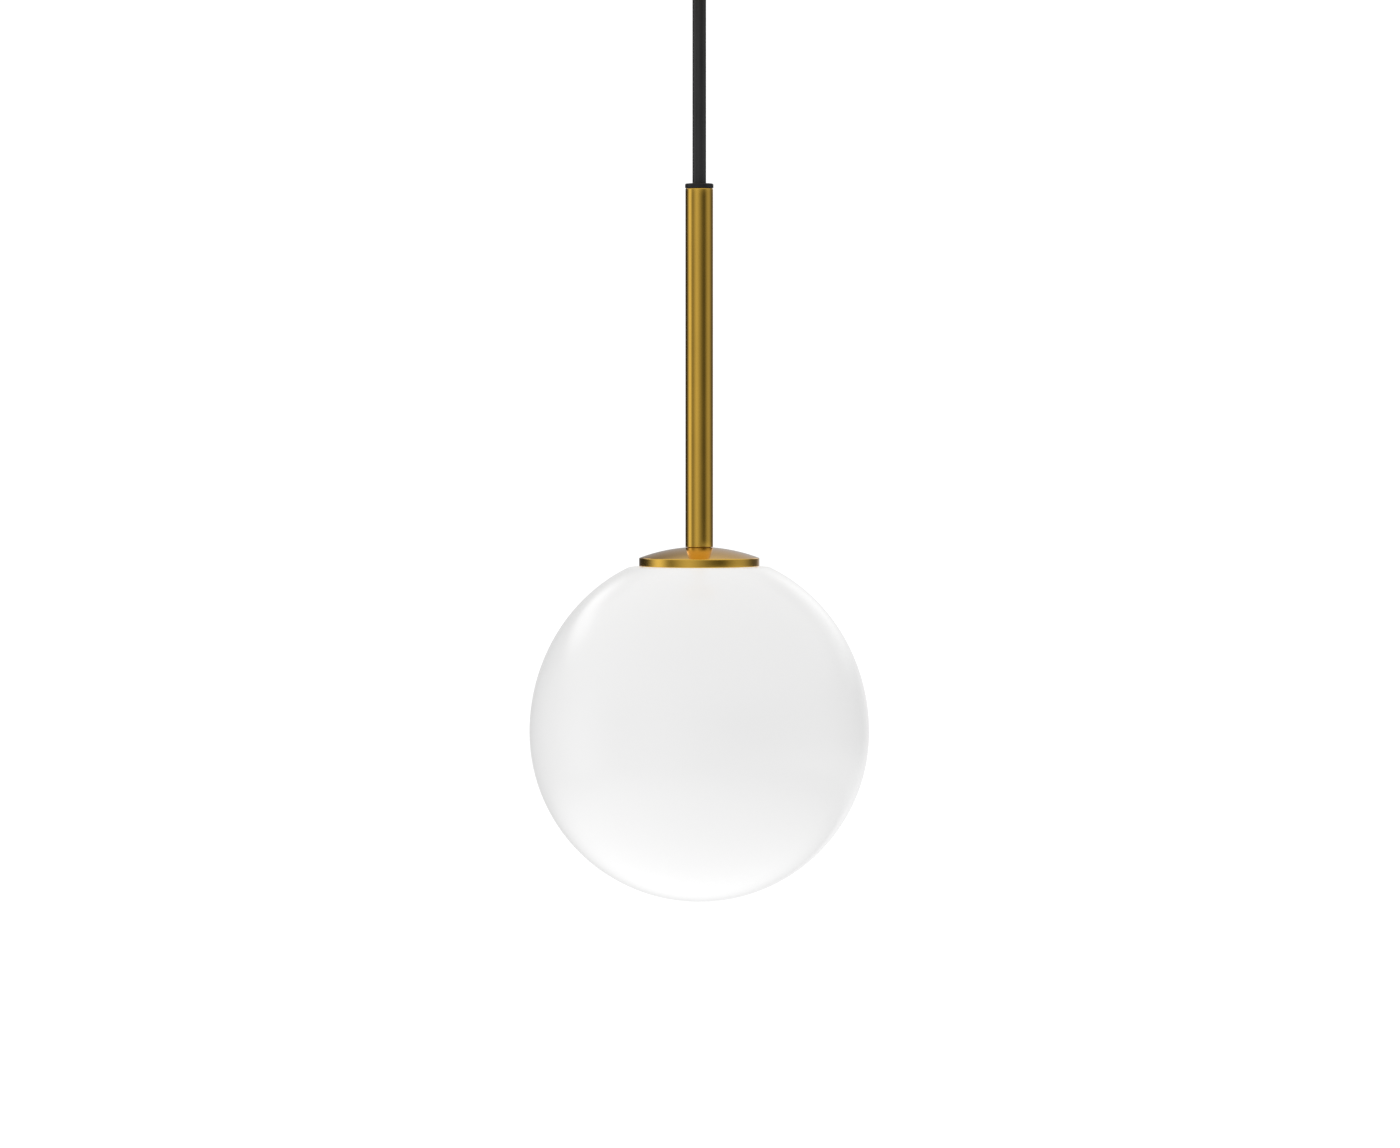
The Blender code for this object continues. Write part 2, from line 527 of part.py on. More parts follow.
def lampholder():
    """Ceramic two-pin holder with a screw ear on each side, and the spring contacts in its two pockets."""
    ear, ear_height, half, depth = FOOT_END, 0.0030, 0.0085, 0.0055
    ear_bottom = HOLDER_TOP - ear_height
    right = [(ear, HOLDER_TOP), (ear, ear_bottom), (half, ear_bottom), (half, HOLDER_BOTTOM)]
    left = [(-x, z) for x, z in reversed(right)]
    matrix = Matrix.Rotation(math.pi / 2, 4, "X") @ Matrix.Translation((0, 0, -depth))
    body = extruded("lampholder", right + left, 2 * depth, CERAMIC, bevel=0.0006, matrix=matrix)
    pocket_top, pocket_half, pocket_depth = -0.3205, 0.0020, 0.0016
    wire_hole = WIRE_RADIUS + 0.0004
    leaf, spread, width, top, bottom = 0.0004, 0.0011, 0.0030, pocket_top - 0.0006, -0.3310
    for name, side in (("live", 1), ("neutral", -1)):
        x = side * PIN_SPACING
        combine(body, block(f"pocket_{name}", (x - pocket_half, -pocket_depth, HOLDER_BOTTOM - PAST),
                            (x + pocket_half, pocket_depth, pocket_top), None))
        drill(body, wire_hole, (x, 0, pocket_top - PAST), (x, 0, HOLDER_TOP + PAST), 12)
        drill(body, M3_HOLE, (side * HOLDER_SCREW_X, 0, ear_bottom - PAST),
              (side * HOLDER_SCREW_X, 0, HOLDER_TOP + PAST), 12)
        clip = [(spread, top), (spread, bottom), (spread - leaf, bottom), (spread - leaf, top - leaf),
                (leaf - spread, top - leaf), (leaf - spread, bottom), (-spread, bottom), (-spread, top)]
        turn = Matrix.Rotation(math.pi / 2, 4, "Z") @ Matrix.Rotation(math.pi / 2, 4, "X")
        extruded(f"contact_{name}", clip, width, BRASS,
                 matrix=Matrix.Translation((x - width / 2, 0, 0)) @ turn)
    for number, side in enumerate((1, -1), 1):
        screw(f"lampholder_screw_{number}", 0.0025, 0.0016, M3_SHAFT, 0.0052, STEEL,
              Matrix.Translation((side * HOLDER_SCREW_X, 0, ear_bottom - GAP)))


def lamp_wires():
    """The cord's three cores, down through the nipple to the two contacts and to the strap's earth screw."""
    top, entry = -0.2623, -0.3190
    routes = {
        "live": [(0.0012, 0.0, top), (0.0012, 0.0, -0.2800), (0.0012, 0.0, -0.3010), (0.0030, 0.0, -0.3070),
                 (0.0044, 0.0, -0.3115), (PIN_SPACING, 0.0, -0.3150), (PIN_SPACING, 0.0, entry)],
        "neutral": [(-0.0006, -0.0011, top), (-0.0006, -0.0011, -0.2800), (-0.0008, -0.0011, -0.3010),
                    (-0.0028, -0.0006, -0.3070), (-0.0044, 0.0, -0.3115), (-PIN_SPACING, 0.0, -0.3150),
                    (-PIN_SPACING, 0.0, entry)],
        "earth": [(-0.0006, 0.0011, top), (-0.0006, 0.0011, -0.2800), (-0.0006, 0.0013, -0.3010),
                  (-0.0016, 0.0050, -0.3060), (-0.0050, 0.0098, -0.3072), (-0.0094, 0.0122, -0.3058),
                  (-0.0118, 0.0115, -0.3042), (-0.0118, 0.0091, -0.3040)],
    }
    for pole, route in routes.items():
        cord(f"lamp_wire_{pole}", route, WIRE_RADIUS, WIRE_COLOURS[pole], spacing=2.5)


def capsule_lamp():
    """Two-pin capsule lamp: ceramic base, hairpin pins, light board and a glass envelope open at its top."""
    half, round_end = 0.0027, 0.0048
    outline = arc((half, 0), (round_end, round_end), -90, 90, 8)
    outline += arc((-half, 0), (round_end, round_end), 90, 270, 8)
    extruded("bulb_base", outline, BASE_TOP - BASE_BOTTOM, CERAMIC, bevel=0.0005,
             matrix=Matrix.Translation((0, 0, BASE_BOTTOM)))
    for number, side in enumerate((1, -1), 1):
        pin, spread, foot, head = 0.0004, 0.0008, BASE_TOP + GAP, -0.3228
        x = side * PIN_SPACING
        hairpin = [(x - spread, 0, foot), (x - spread, 0, (foot + head) / 2)]
        bend = arc((x, head - spread), (spread, spread), 180, 0, 4)
        hairpin += [(across, 0, height) for across, height in bend]
        hairpin += [(x + spread, 0, (foot + head) / 2), (x + spread, 0, foot)]
        cord(f"bulb_pin_{number}", hairpin, pin, STEEL, spacing=1.5)
    top, wall, round_start = BASE_BOTTOM - GAP, 0.0008, ENVELOPE_BOTTOM + ENVELOPE_RADIUS
    outside = arc((0, round_start), (ENVELOPE_RADIUS, ENVELOPE_RADIUS), -90, 0, 6)
    thin = ENVELOPE_RADIUS - wall
    inside = arc((0, round_start), (thin, thin), 0, -90, 5)
    profile = outside + [(ENVELOPE_RADIUS, top), (thin, top)] + inside
    turned("bulb_envelope", profile, CLEAR_GLASS, 20, closed=False)
    board = Vector((0.0030, 0.0008, top))
    block("light_board", (-board.x, -board.y, ENVELOPE_BOTTOM + 0.0060), board, BOARD)


def globe():
    """Blown opal globe: half a sphere below, a slightly taller half ellipse above, a flat seat and a neck."""
    upper, radius = GLOBE_UPPER_HEIGHT, GLOBE_RADIUS
    seat = EQUATOR + SEAT_HEIGHT
    edge = math.degrees(math.asin(SEAT_HEIGHT / upper))
    outside = arc((0, EQUATOR), (radius, radius), -90, 0, 8)[:-1]
    outside += arc((0, EQUATOR), (radius, upper), 0, edge, 6)
    thin, thin_upper = radius - GLASS, upper - GLASS
    inner_edge = math.degrees(math.asin((SEAT_HEIGHT - GLASS) / thin_upper))
    inside = arc((0, EQUATOR), (thin, thin_upper), inner_edge, 0, 6)[:-1]
    inside += arc((0, EQUATOR), (thin, thin), 0, -90, 8)
    neck = [(NECK_RADIUS, seat), (NECK_RADIUS, seat + NECK_HEIGHT), (NECK_BORE, seat + NECK_HEIGHT),
            (NECK_BORE, seat - GLASS)]
    turned("globe", outside + neck + inside, OPAL_GLASS, 36, closed=False)


for leftover in list(bpy.data.objects):
    bpy.data.objects.remove(leftover, do_unlink=True)

bracket_plate = ceiling_bracket()
terminal_block(bracket_plate)
earth_point(bracket_plate)
canopy()
cord_grip()
canopy_wires()
hanging_cord()
stem()
globe_cap()
globe_spring()
lampholder_strap()
lampholder()
lamp_wires()
capsule_lamp()
globe()
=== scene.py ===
import math

import bmesh
import bpy
import numpy as np
from mathutils import Matrix, Vector


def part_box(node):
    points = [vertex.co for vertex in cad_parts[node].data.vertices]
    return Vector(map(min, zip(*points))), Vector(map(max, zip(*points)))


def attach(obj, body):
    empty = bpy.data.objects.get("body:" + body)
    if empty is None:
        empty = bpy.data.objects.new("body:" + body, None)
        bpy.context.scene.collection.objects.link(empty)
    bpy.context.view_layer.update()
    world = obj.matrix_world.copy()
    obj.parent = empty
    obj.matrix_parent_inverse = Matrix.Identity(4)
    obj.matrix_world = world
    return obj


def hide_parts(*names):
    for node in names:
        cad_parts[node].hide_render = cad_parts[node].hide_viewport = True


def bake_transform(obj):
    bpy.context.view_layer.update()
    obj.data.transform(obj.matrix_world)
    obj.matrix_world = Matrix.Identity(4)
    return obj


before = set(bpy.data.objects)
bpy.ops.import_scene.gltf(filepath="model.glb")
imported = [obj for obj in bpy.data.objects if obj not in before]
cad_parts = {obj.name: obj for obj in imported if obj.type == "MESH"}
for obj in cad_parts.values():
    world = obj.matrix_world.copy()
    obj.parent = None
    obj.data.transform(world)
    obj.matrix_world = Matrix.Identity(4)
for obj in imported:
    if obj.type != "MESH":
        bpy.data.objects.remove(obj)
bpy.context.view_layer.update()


# Camera and studio ---------------------------------------------------------------------------------------
# A long lens 2 m away, level with the lower part of the stem, looks along +Y and a little down. The room has
# a white floor far below and a bright ceiling, and round the pendant stands a ring of tall panels, which the
# brass mirrors as upright bands.
CAMERA_DISTANCE = 2.0
CAMERA_HEIGHT = -0.2386
AIM = Vector((0.00032, 0.0, -0.3014))
VIEW_WIDTH = 0.6176
SENSOR = 36.0
FLOOR_HEIGHT = -2.45
FLOOR_RADIUS = 6.0

camera = bpy.data.objects.new("camera", bpy.data.cameras.new("camera"))
camera.data.sensor_width = SENSOR
camera.data.lens = SENSOR * CAMERA_DISTANCE / VIEW_WIDTH
camera.location = (AIM.x, -CAMERA_DISTANCE, CAMERA_HEIGHT)
camera.rotation_euler = (AIM - camera.location).to_track_quat("-Z", "Y").to_euler()
bpy.context.scene.collection.objects.link(camera)
bpy.context.scene.camera = camera
bpy.context.scene.view_settings.view_transform = "Standard"


# The ring of panels round the light, as (azimuth, level): the azimuth in degrees from the camera's side,
# positive towards +X. The ceiling starts above them, and lower behind the pendant than in front of it.
RING = [(-180, 0.45), (-166, 0.14), (-150, 0.03), (-118, 0.03), (-103, 0.42), (-86, 1.15), (-72, 0.68),
        (-60, 0.22), (-48, 0.30), (-26, 0.70), (-12, 0.60), (4, 0.38), (20, 0.18), (36, 0.09), (48, 0.09),
        (62, 0.30), (78, 0.48), (98, 0.42), (118, 0.10), (145, 0.08), (158, 0.50), (169, 0.50), (180, 0.45)]
CEILING_LEVEL, CEILING_EDGE = 0.80, (0.14, 0.48)
CEILING_LOWERED, FROM_SIDE_TO_BACK = -0.34, (0.45, 0.85)

# Two strips of light hang behind the pendant, one on each side, and a low glow lies to the right. An edge is
# (nothing yet, all there) along a part of the direction looked in: its height, its east, or how far it is
# ahead, which is 0 at the sides and 1 straight behind the pendant.
LEFT_STRIP, LEFT_FOOT, LEFT_TOP = 1.5, (0.31, 0.43), (0.62, 0.49)
LEFT_OUTER, LEFT_INNER, LEFT_SIDE = (0.40, 0.70), (0.97, 0.88), (0.0, -0.1)
RIGHT_STRIP, RIGHT_FOOT, RIGHT_TOP = 0.65, (0.06, 0.26), (0.62, 0.36)
RIGHT_OUTER, RIGHT_SIDE = (0.50, 0.84), (0.12, 0.34)
LOW_GLOW, LOW_TOP, LOW_SIDE = 0.35, (-0.07, -0.22), (0.05, 0.60)
SEEN_WHITE = 1.1

world = bpy.data.worlds.new("studio")
bpy.context.scene.world = world
world.use_nodes = True
sky = world.node_tree
sky.nodes.clear()


def add_node(tree, kind, *values, **named):
    """A node with its settings and inputs given by name, or its inputs in order; a socket is linked."""
    made = tree.nodes.new("ShaderNode" + kind)
    for key, value in [*named.items(), *enumerate(values)]:
        if isinstance(key, str) and hasattr(made, key):
            setattr(made, key, value)
            continue
        socket = made.inputs[key.replace("_", " ") if isinstance(key, str) else key]
        if isinstance(value, bpy.types.NodeSocket):
            tree.links.new(value, socket)
        else:
            socket.default_value = value
    return made


def math_node(operation, *values):
    """One step of the studio's arithmetic: values and sockets go in, a socket comes out."""
    return add_node(sky, "Math", *values, operation=operation).outputs[0]


def product(first, *others):
    """Everything multiplied together."""
    for other in others:
        first = math_node("MULTIPLY", first, other)
    return first


def soft_step(value, start, end):
    """0 before start, 1 after end, and smooth between them."""
    return add_node(sky, "MapRange", value, start, end, interpolation_type="SMOOTHSTEP").outputs["Result"]


direction = add_node(sky, "TexCoord").outputs["Generated"]
east, north, height = add_node(sky, "SeparateXYZ", direction).outputs
azimuth_angle = math_node("ARCTAN2", east, product(north, -1.0))
share_of_turn = math_node("MULTIPLY_ADD", azimuth_angle, 1 / (2 * math.pi), 0.5)
panels = add_node(sky, "ValToRGB", share_of_turn)
panels.color_ramp.interpolation = "B_SPLINE"
stops = panels.color_ramp.elements
for _ in RING[2:]:
    stops.new(1.0)
for stop, (azimuth, level) in zip(stops, RING):
    stop.position = azimuth / 360 + 0.5
    stop.color = (level, level, level, 1)
level_part = math_node("SQRT", math_node("ADD", product(north, north), product(east, east)))
ahead = math_node("DIVIDE", north, level_part)
lowered = math_node("MULTIPLY_ADD", soft_step(ahead, *FROM_SIDE_TO_BACK), CEILING_LOWERED, height)
ceiling = soft_step(lowered, *CEILING_EDGE)
left_strip = product(soft_step(height, *LEFT_FOOT), soft_step(height, *LEFT_TOP),
                     soft_step(east, *LEFT_SIDE), soft_step(ahead, *LEFT_OUTER),
                     soft_step(ahead, *LEFT_INNER))
right_strip = product(soft_step(height, *RIGHT_FOOT), soft_step(height, *RIGHT_TOP),
                      soft_step(east, *RIGHT_SIDE), soft_step(ahead, *RIGHT_OUTER))
low_glow = product(soft_step(height, *LOW_TOP), soft_step(east, *LOW_SIDE))
light = product(panels.outputs["Color"], math_node("SUBTRACT", 1.0, ceiling))
for part, level in ((ceiling, CEILING_LEVEL), (left_strip, LEFT_STRIP), (right_strip, RIGHT_STRIP),
                    (low_glow, LOW_GLOW)):
    light = math_node("MULTIPLY_ADD", part, level, light)

# What lights the pendant and is mirrored in it is the studio; straight into the camera comes plain white.
mirrored = add_node(sky, "Background", Color=(1, 1, 1, 1), Strength=light)
plain = add_node(sky, "Background", Color=(1, 1, 1, 1), Strength=SEEN_WHITE)
to_camera = add_node(sky, "LightPath").outputs["Is Camera Ray"]
either = add_node(sky, "MixShader", to_camera, mirrored.outputs[0], plain.outputs[0])
add_node(sky, "OutputWorld", either.outputs[0])

# The floor glows round a spot in front of the pendant, to its left. FLOOR_FADE is how far from that spot the
# glow begins to fade and where it has faded, FLOOR_LEVELS its levels there. The camera sees the floor white.
FLOOR_SPOT = (-0.60, -0.52, FLOOR_HEIGHT)
FLOOR_FADE, FLOOR_LEVELS = (1.55, 5.4), (0.87, 0.05)
turns = np.linspace(0, 2 * math.pi, 96, endpoint=False)
floor_points = np.stack([FLOOR_RADIUS * np.cos(turns), FLOOR_RADIUS * np.sin(turns),
                         np.full_like(turns, FLOOR_HEIGHT)], axis=1)
floor_mesh = bpy.data.meshes.new("floor")
floor_mesh.from_pydata(floor_points.tolist(), [], [list(range(len(turns)))])
floor = bpy.data.objects.new("floor", floor_mesh)
bpy.context.scene.collection.objects.link(floor)
floor_paint = bpy.data.materials.new("floor_paint")
floor_paint.use_nodes = True
floor_shader = floor_paint.node_tree.nodes["Principled BSDF"]
floor_shader.inputs["Base Color"].default_value = (0.3, 0.3, 0.3, 1)
floor_shader.inputs["Roughness"].default_value = 0.9
floor_shader.inputs["Emission Color"].default_value = (1, 1, 1, 1)
paint_nodes = floor_paint.node_tree
where = add_node(paint_nodes, "TexCoord").outputs["Object"]
from_spot = add_node(paint_nodes, "VectorMath", where, FLOOR_SPOT, operation="DISTANCE").outputs["Value"]
fade = add_node(paint_nodes, "MapRange", from_spot, *FLOOR_FADE, *FLOOR_LEVELS,
                interpolation_type="SMOOTHSTEP").outputs["Result"]
to_camera = add_node(paint_nodes, "LightPath").outputs["Is Camera Ray"]
glow = add_node(paint_nodes, "Math", fade, to_camera, operation="MAXIMUM")
paint_nodes.links.new(glow.outputs[0], floor_shader.inputs["Emission Strength"])
floor_mesh.materials.append(floor_paint)


# Ceiling bracket -----------------------------------------------------------------------------------------
# A strap of zinc-plated steel, blanked with two slots, folded down at both ends into ears with a screw hole.
# It is screwed to the ceiling, and everything else hangs from it.
class Finish:
    """A Principled material under construction, with short ways to add noise-driven detail to it."""

    def __init__(self, name, colour, roughness, metallic=0.0, **sockets):
        self.material = bpy.data.materials.new(name)
        self.material.use_nodes = True
        self.tree = self.material.node_tree
        self.shader = self.tree.nodes["Principled BSDF"]
        self.colour = colour
        self.shader.inputs["Base Color"].default_value = (*colour, 1.0)
        self.shader.inputs["Roughness"].default_value = roughness
        self.shader.inputs["Metallic"].default_value = metallic
        for socket, value in sockets.items():
            self.shader.inputs[socket.replace("_", " ")].default_value = value
        self.bump = None

    def node(self, kind, *values, **named):
        """A node of this material, made and linked in one go."""
        return add_node(self.tree, kind, *values, **named)

    def place(self, stretch=(1, 1, 1), source="Object"):
        """Object or UV coordinates, stretched by a factor along each axis."""
        coordinates = self.node("TexCoord").outputs[source]
        return self.node("Mapping", Vector=coordinates, Scale=stretch).outputs[0]

    def noise(self, scale, stretch=(1, 1, 1), detail=3.0, source="Object"):
        """Cloudy noise between 0 and 1, scale lumps to the metre."""
        where = self.place(stretch, source)
        return self.node("TexNoise", Vector=where, Scale=scale, Detail=detail).outputs["Fac"]

    def tint(self, noise, dark, light):
        """Colour that runs from dark to light as the noise goes from 0.3 to 0.7."""
        ramp = self.node("ValToRGB", Fac=noise)
        for stop, position, colour in zip(ramp.color_ramp.elements, (0.3, 0.7), (dark, light)):
            stop.position = position
            stop.color = (*colour, 1)
        self.tree.links.new(ramp.outputs[0], self.shader.inputs["Base Color"])
        return self

    def vary(self, noise, share=0.06):
        """Colour that varies by a share of itself with the noise."""
        dark = tuple(part * (1 - share) for part in self.colour)
        light = tuple(min(1.0, part * (1 + share)) for part in self.colour)
        return self.tint(noise, dark, light)

    def polish(self, noise, smooth, rough):
        """Roughness that runs from smooth to rough as the noise goes from 0.3 to 0.7."""
        spread = self.node("MapRange", Value=noise, From_Min=0.3, From_Max=0.7, To_Min=smooth, To_Max=rough)
        self.tree.links.new(spread.outputs["Result"], self.shader.inputs["Roughness"])
        return self

    def relief(self, noise, depth, strength=1.0):
        """Bump of the given depth in metres from the noise, on top of any relief added before."""
        bump = self.node("Bump", Height=noise, Distance=depth, Strength=strength)
        if self.bump:
            self.tree.links.new(self.bump.outputs[0], bump.inputs["Normal"])
        self.bump = bump
        self.tree.links.new(bump.outputs[0], self.shader.inputs["Normal"])
        return self


def show(piece, finish, body, *nodes):
    """Give a piece its material, let it ride on its body and stand for its CAD nodes."""
    piece.data.materials.clear()
    piece.data.materials.append(finish.material)
    if body:
        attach(piece, body)
    if nodes:
        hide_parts(*nodes)
    return piece


WORN_ANGLE = math.radians(38)
FLAT_ANGLE = math.radians(0.8)
SAME_POINT = 2e-6


def refined(node, name, finish, body, bevel=0.0002):
    """A copy of a CAD node: its triangles merged into whole faces, and its sharp edges rounded by a bevel."""
    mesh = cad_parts[node].data.copy()
    mesh.name = name
    bm = bmesh.new()
    bm.from_mesh(mesh)
    bmesh.ops.remove_doubles(bm, verts=bm.verts, dist=SAME_POINT)
    bmesh.ops.dissolve_limit(bm, angle_limit=FLAT_ANGLE, verts=bm.verts, edges=bm.edges)
    bm.to_mesh(mesh)
    bm.free()
    mesh.shade_smooth()
    mesh.set_sharp_from_angle(angle=WORN_ANGLE)
    piece = bpy.data.objects.new(name, mesh)
    bpy.context.scene.collection.objects.link(piece)
    if bevel:
        edge = piece.modifiers.new("Softened edges", "BEVEL")
        edge.width = bevel
        edge.segments = 3
        edge.limit_method = "ANGLE"
        edge.angle_limit = WORN_ANGLE
        edge.harden_normals = True
    return show(piece, finish, body, node)


zinc = Finish("zinc_plated_steel", (0.50, 0.51, 0.53), 0.36, 1.0)
zinc.vary(zinc.noise(260, detail=5), 0.10).polish(zinc.noise(90, detail=4), 0.28, 0.44)
zinc.relief(zinc.noise(900, stretch=(0.12, 1, 1)), 0.00002, 0.5)
refined("ceiling_bracket", "bracket_strap", zinc, "bracket", 0.0003)
refined("earth_lug", "bracket_earth_lug", zinc, "bracket", 0.00012)


# Terminal block ------------------------------------------------------------------------------------------
# Three poles side by side in one natural nylon moulding under the bracket, two fixing screws between them.
# Each pole is a drilled brass tube with two clamp screws; the wires are pushed in from either end.
nylon = Finish("natural_nylon", (0.74, 0.72, 0.66), 0.38, Subsurface_Weight=0.35, Subsurface_Scale=0.002)
nylon.vary(nylon.noise(140), 0.03).polish(nylon.noise(300), 0.32, 0.46)
nylon.relief(nylon.noise(2600), 0.000015, 0.4)
turned_brass = Finish("turned_brass", (0.66, 0.47, 0.20), 0.26, 1.0)
turned_brass.vary(turned_brass.noise(420), 0.08).polish(turned_brass.noise(700), 0.20, 0.34)
turned_brass.relief(turned_brass.noise(5000, stretch=(1, 0.1, 0.1)), 0.00001, 0.5)
refined("terminal_block", "terminal_moulding", nylon, "bracket", 0.00015)
for pole in ("live", "neutral", "earth"):
    refined(f"terminal_{pole}", f"terminal_tube_{pole}", turned_brass, "bracket", 0.0001)


SHARP_ANGLE = math.radians(40)


def surface(name, points, wrap_rows, lengths=None):
    """A closed mesh over a grid of points, rows by columns, whose columns always join up.

    With wrap_rows the last row joins the first, as on a ring; otherwise each end row is merged into a pole.
    UV: the share of a turn, and the length in metres along the rows.
    """
    rows, columns = points.shape[:2]
    if lengths is None:
        steps = np.linalg.norm(np.diff(points.mean(axis=1) if wrap_rows else points[:, 0], axis=0), axis=1)
        lengths = np.concatenate([[0.0], np.cumsum(steps)])
    i, j = np.meshgrid(np.arange(rows if wrap_rows else rows - 1), np.arange(columns), indexing="ij")
    below, right = (i + 1) % rows, (j + 1) % columns
    here, under = i * columns, below * columns
    quads = np.stack([here + j, here + right, under + right, under + j], axis=-1).reshape(-1, 4)
    flat = points.reshape(-1, 3)
    a, b, c, d = (flat[quads[:, k]] for k in range(4))
    inside_out = (a * (np.cross(b, c) + np.cross(c, d))).sum() < 0
    along = np.append(lengths, lengths[-1] + (lengths[-1] - lengths[-2]))
    uv = np.stack([np.stack([j, j + 1, j + 1, j], -1) / columns,
                   np.stack([along[i], along[i], along[i + 1], along[i + 1]], -1)], -1).reshape(-1, 4, 2)
    if inside_out:
        quads, uv = quads[:, ::-1], uv[:, ::-1]
    mesh = bpy.data.meshes.new(name)
    mesh.from_pydata(flat.tolist(), [], quads.tolist())
    mesh.uv_layers.new(name="UVMap").data.foreach_set("uv", uv.reshape(-1).astype(np.float32))
    if not wrap_rows:
        bm = bmesh.new()
        bm.from_mesh(mesh)
        bm.verts.ensure_lookup_table()
        bmesh.ops.remove_doubles(bm, verts=bm.verts[:columns] + bm.verts[-columns:], dist=1e-7)
        bm.to_mesh(mesh)
        bm.free()
    mesh.shade_smooth()
    mesh.set_sharp_from_angle(angle=SHARP_ANGLE)
    piece = bpy.data.objects.new(name, mesh)
    bpy.context.scene.collection.objects.link(piece)
    return piece


def filleted(corners, closed, steps=4):
    """Profile points through the corners (radius, height, fillet), each rounded by a tangent arc.

    The arc starts and ends a tangent length t = fillet * tan(bend / 2) from the corner.
    """
    corners = [np.array(corner, float) for corner in corners]
    points = []
    for index, corner in enumerate(corners):
        here, fillet = corner[:2], corner[2]
        inner = 0 < index < len(corners) - 1
        if fillet <= 0 or not (closed or inner):
            points.append(here)
            continue
        before = corners[index - 1][:2] - here
        after = corners[(index + 1) % len(corners)][:2] - here
        before, after = before / np.linalg.norm(before), after / np.linalg.norm(after)
        half_bend = 0.5 * (math.pi - math.acos(np.clip(before @ after, -1, 1)))
        reach = fillet * math.tan(half_bend)
        middle = here + (before + after) / np.linalg.norm(before + after) * fillet / math.cos(half_bend)
        start = here + before * reach - middle
        turn = math.copysign(2 * half_bend, before[0] * after[1] - before[1] * after[0]) * -1
        for angle in np.linspace(0, turn, steps + 1):
            cos, sin = math.cos(angle), math.sin(angle)
            points.append(middle + (start[0] * cos - start[1] * sin, start[0] * sin + start[1] * cos))
    return np.array(points)


def fine(profile, step):
    """The profile with extra points, so that none are further apart than step."""
    pieces = [np.linspace(a, b, max(1, math.ceil(np.linalg.norm(b - a) / step)), endpoint=False)
              for a, b in zip(profile, profile[1:])]
    return np.concatenate(pieces + [profile[-1:]])


def turned(name, profile, columns=96, relief=None, matrix=None):
    """A profile of (radius, height) points carried round the Z axis, then placed by the matrix.

    Point (i, j) is at (r cos a, r sin a, z) for row i and angle a = 2 pi j / columns. relief(r, z, a) gives
    changes of r and z. A profile that starts and ends on the axis is solid; any other closes into a ring.
    """
    angles = np.linspace(0, 2 * math.pi, columns, endpoint=False)[None, :]
    radius, height = (np.repeat(part[:, None], columns, axis=1) for part in np.asarray(profile, float).T)
    solid = radius[0, 0] < 1e-9 and radius[-1, 0] < 1e-9
    if relief:
        grow, rise = relief(radius, height, np.repeat(angles, len(radius), axis=0))
        radius, height = radius + grow, height + rise
    points = np.stack([radius * np.cos(angles), radius * np.sin(angles), height], axis=-1)
    if matrix is not None:
        turn, shift = np.array(matrix.to_3x3()), np.array(matrix.translation)
        points = points @ turn.T + shift
    steps = np.linalg.norm(np.diff(np.asarray(profile, float), axis=0), axis=1)
    return surface(name, points, not solid, np.concatenate([[0.0], np.cumsum(steps)]))


def thread(pitch, depth, inner, outer, low, high):
    """Relief of a screw thread: a triangle wave of height minus pitch times turns, between low and high."""
    def relief(radius, height, angle):
        wave = np.abs(((height / pitch - angle / (2 * math.pi)) % 1.0) * 2 - 1)
        on = (radius > inner) & (radius < outer) & (height > low) & (height < high)
        return -depth * wave * on, 0 * radius
    return relief


def facing(axis, position):
    """A matrix that turns +Z to the axis and moves the origin to the position."""
    turn = Vector(axis).to_track_quat("Z", "Y").to_matrix().to_4x4()
    return Matrix.Translation(position) @ turn


# A cross recess, as shares of the head's radius and height, and the pan head's edge, as shares of its height.
RECESS_HALF_WIDTH, RECESS_REACH, RECESS_DEPTH = 0.16, 0.62, 0.55
PAN_EDGE, PAN_ROUND = 0.86, 0.45


def screw(name, head, head_height, shaft, length, matrix, pitch=0.0005):
    """A pan-head screw with a cross recess: the head is under the XY plane, the threaded shaft above it.

    The recess lowers the head's face by a soft step across two crossed slots that narrow towards their ends.
    """
    slot, reach, depth = head * RECESS_HALF_WIDTH, head * RECESS_REACH, head_height * RECESS_DEPTH
    profile = filleted([(0, -head_height, 0), (head, -head_height * PAN_EDGE, head_height * PAN_ROUND),
                        (head, 0, 0.0001), (shaft, 0, 0), (shaft, length, 0.0003), (0, length, 0)],
                       closed=False)
    profile = np.concatenate([fine(profile[:2], head / 14), fine(profile[1:], 0.00017)])

    def relief(radius, height, angle):
        x, y = radius * np.cos(angle), radius * np.sin(angle)
        along, across = np.maximum(abs(x), abs(y)), np.minimum(abs(x), abs(y))
        width = slot * (1 - 0.55 * along / reach)
        cut = np.clip((width - across) / (0.35 * slot), 0, 1) * np.clip((reach - along) / (0.3 * slot), 0, 1)
        face = (height < -head_height * 0.8) & (radius < reach * 1.2)
        grow, _ = thread(pitch, 0.22 * pitch, shaft * 0.98, shaft * 1.02, 0.0003, length - 0.0002)(
            radius, height, angle)
        return grow, depth * cut * face
    return turned(name, profile, 72, relief, matrix)


def screw_like(node, name, finish, body, axis, head, head_height, shaft):
    """A new screw in the place of a CAD one, its head at the end of the box that axis points away from."""
    low, high = (Vector(corner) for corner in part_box(node))
    axis = Vector(axis)
    along = max(range(3), key=lambda k: abs(axis[k]))
    seat = (low + high) / 2
    outer = low[along] if axis[along] > 0 else high[along]
    seat[along] = outer + math.copysign(head_height, axis[along])
    length = (high - low)[along] - head_height
    return show(screw(name, head, head_height, shaft, length, facing(axis, seat)), finish, body, node)


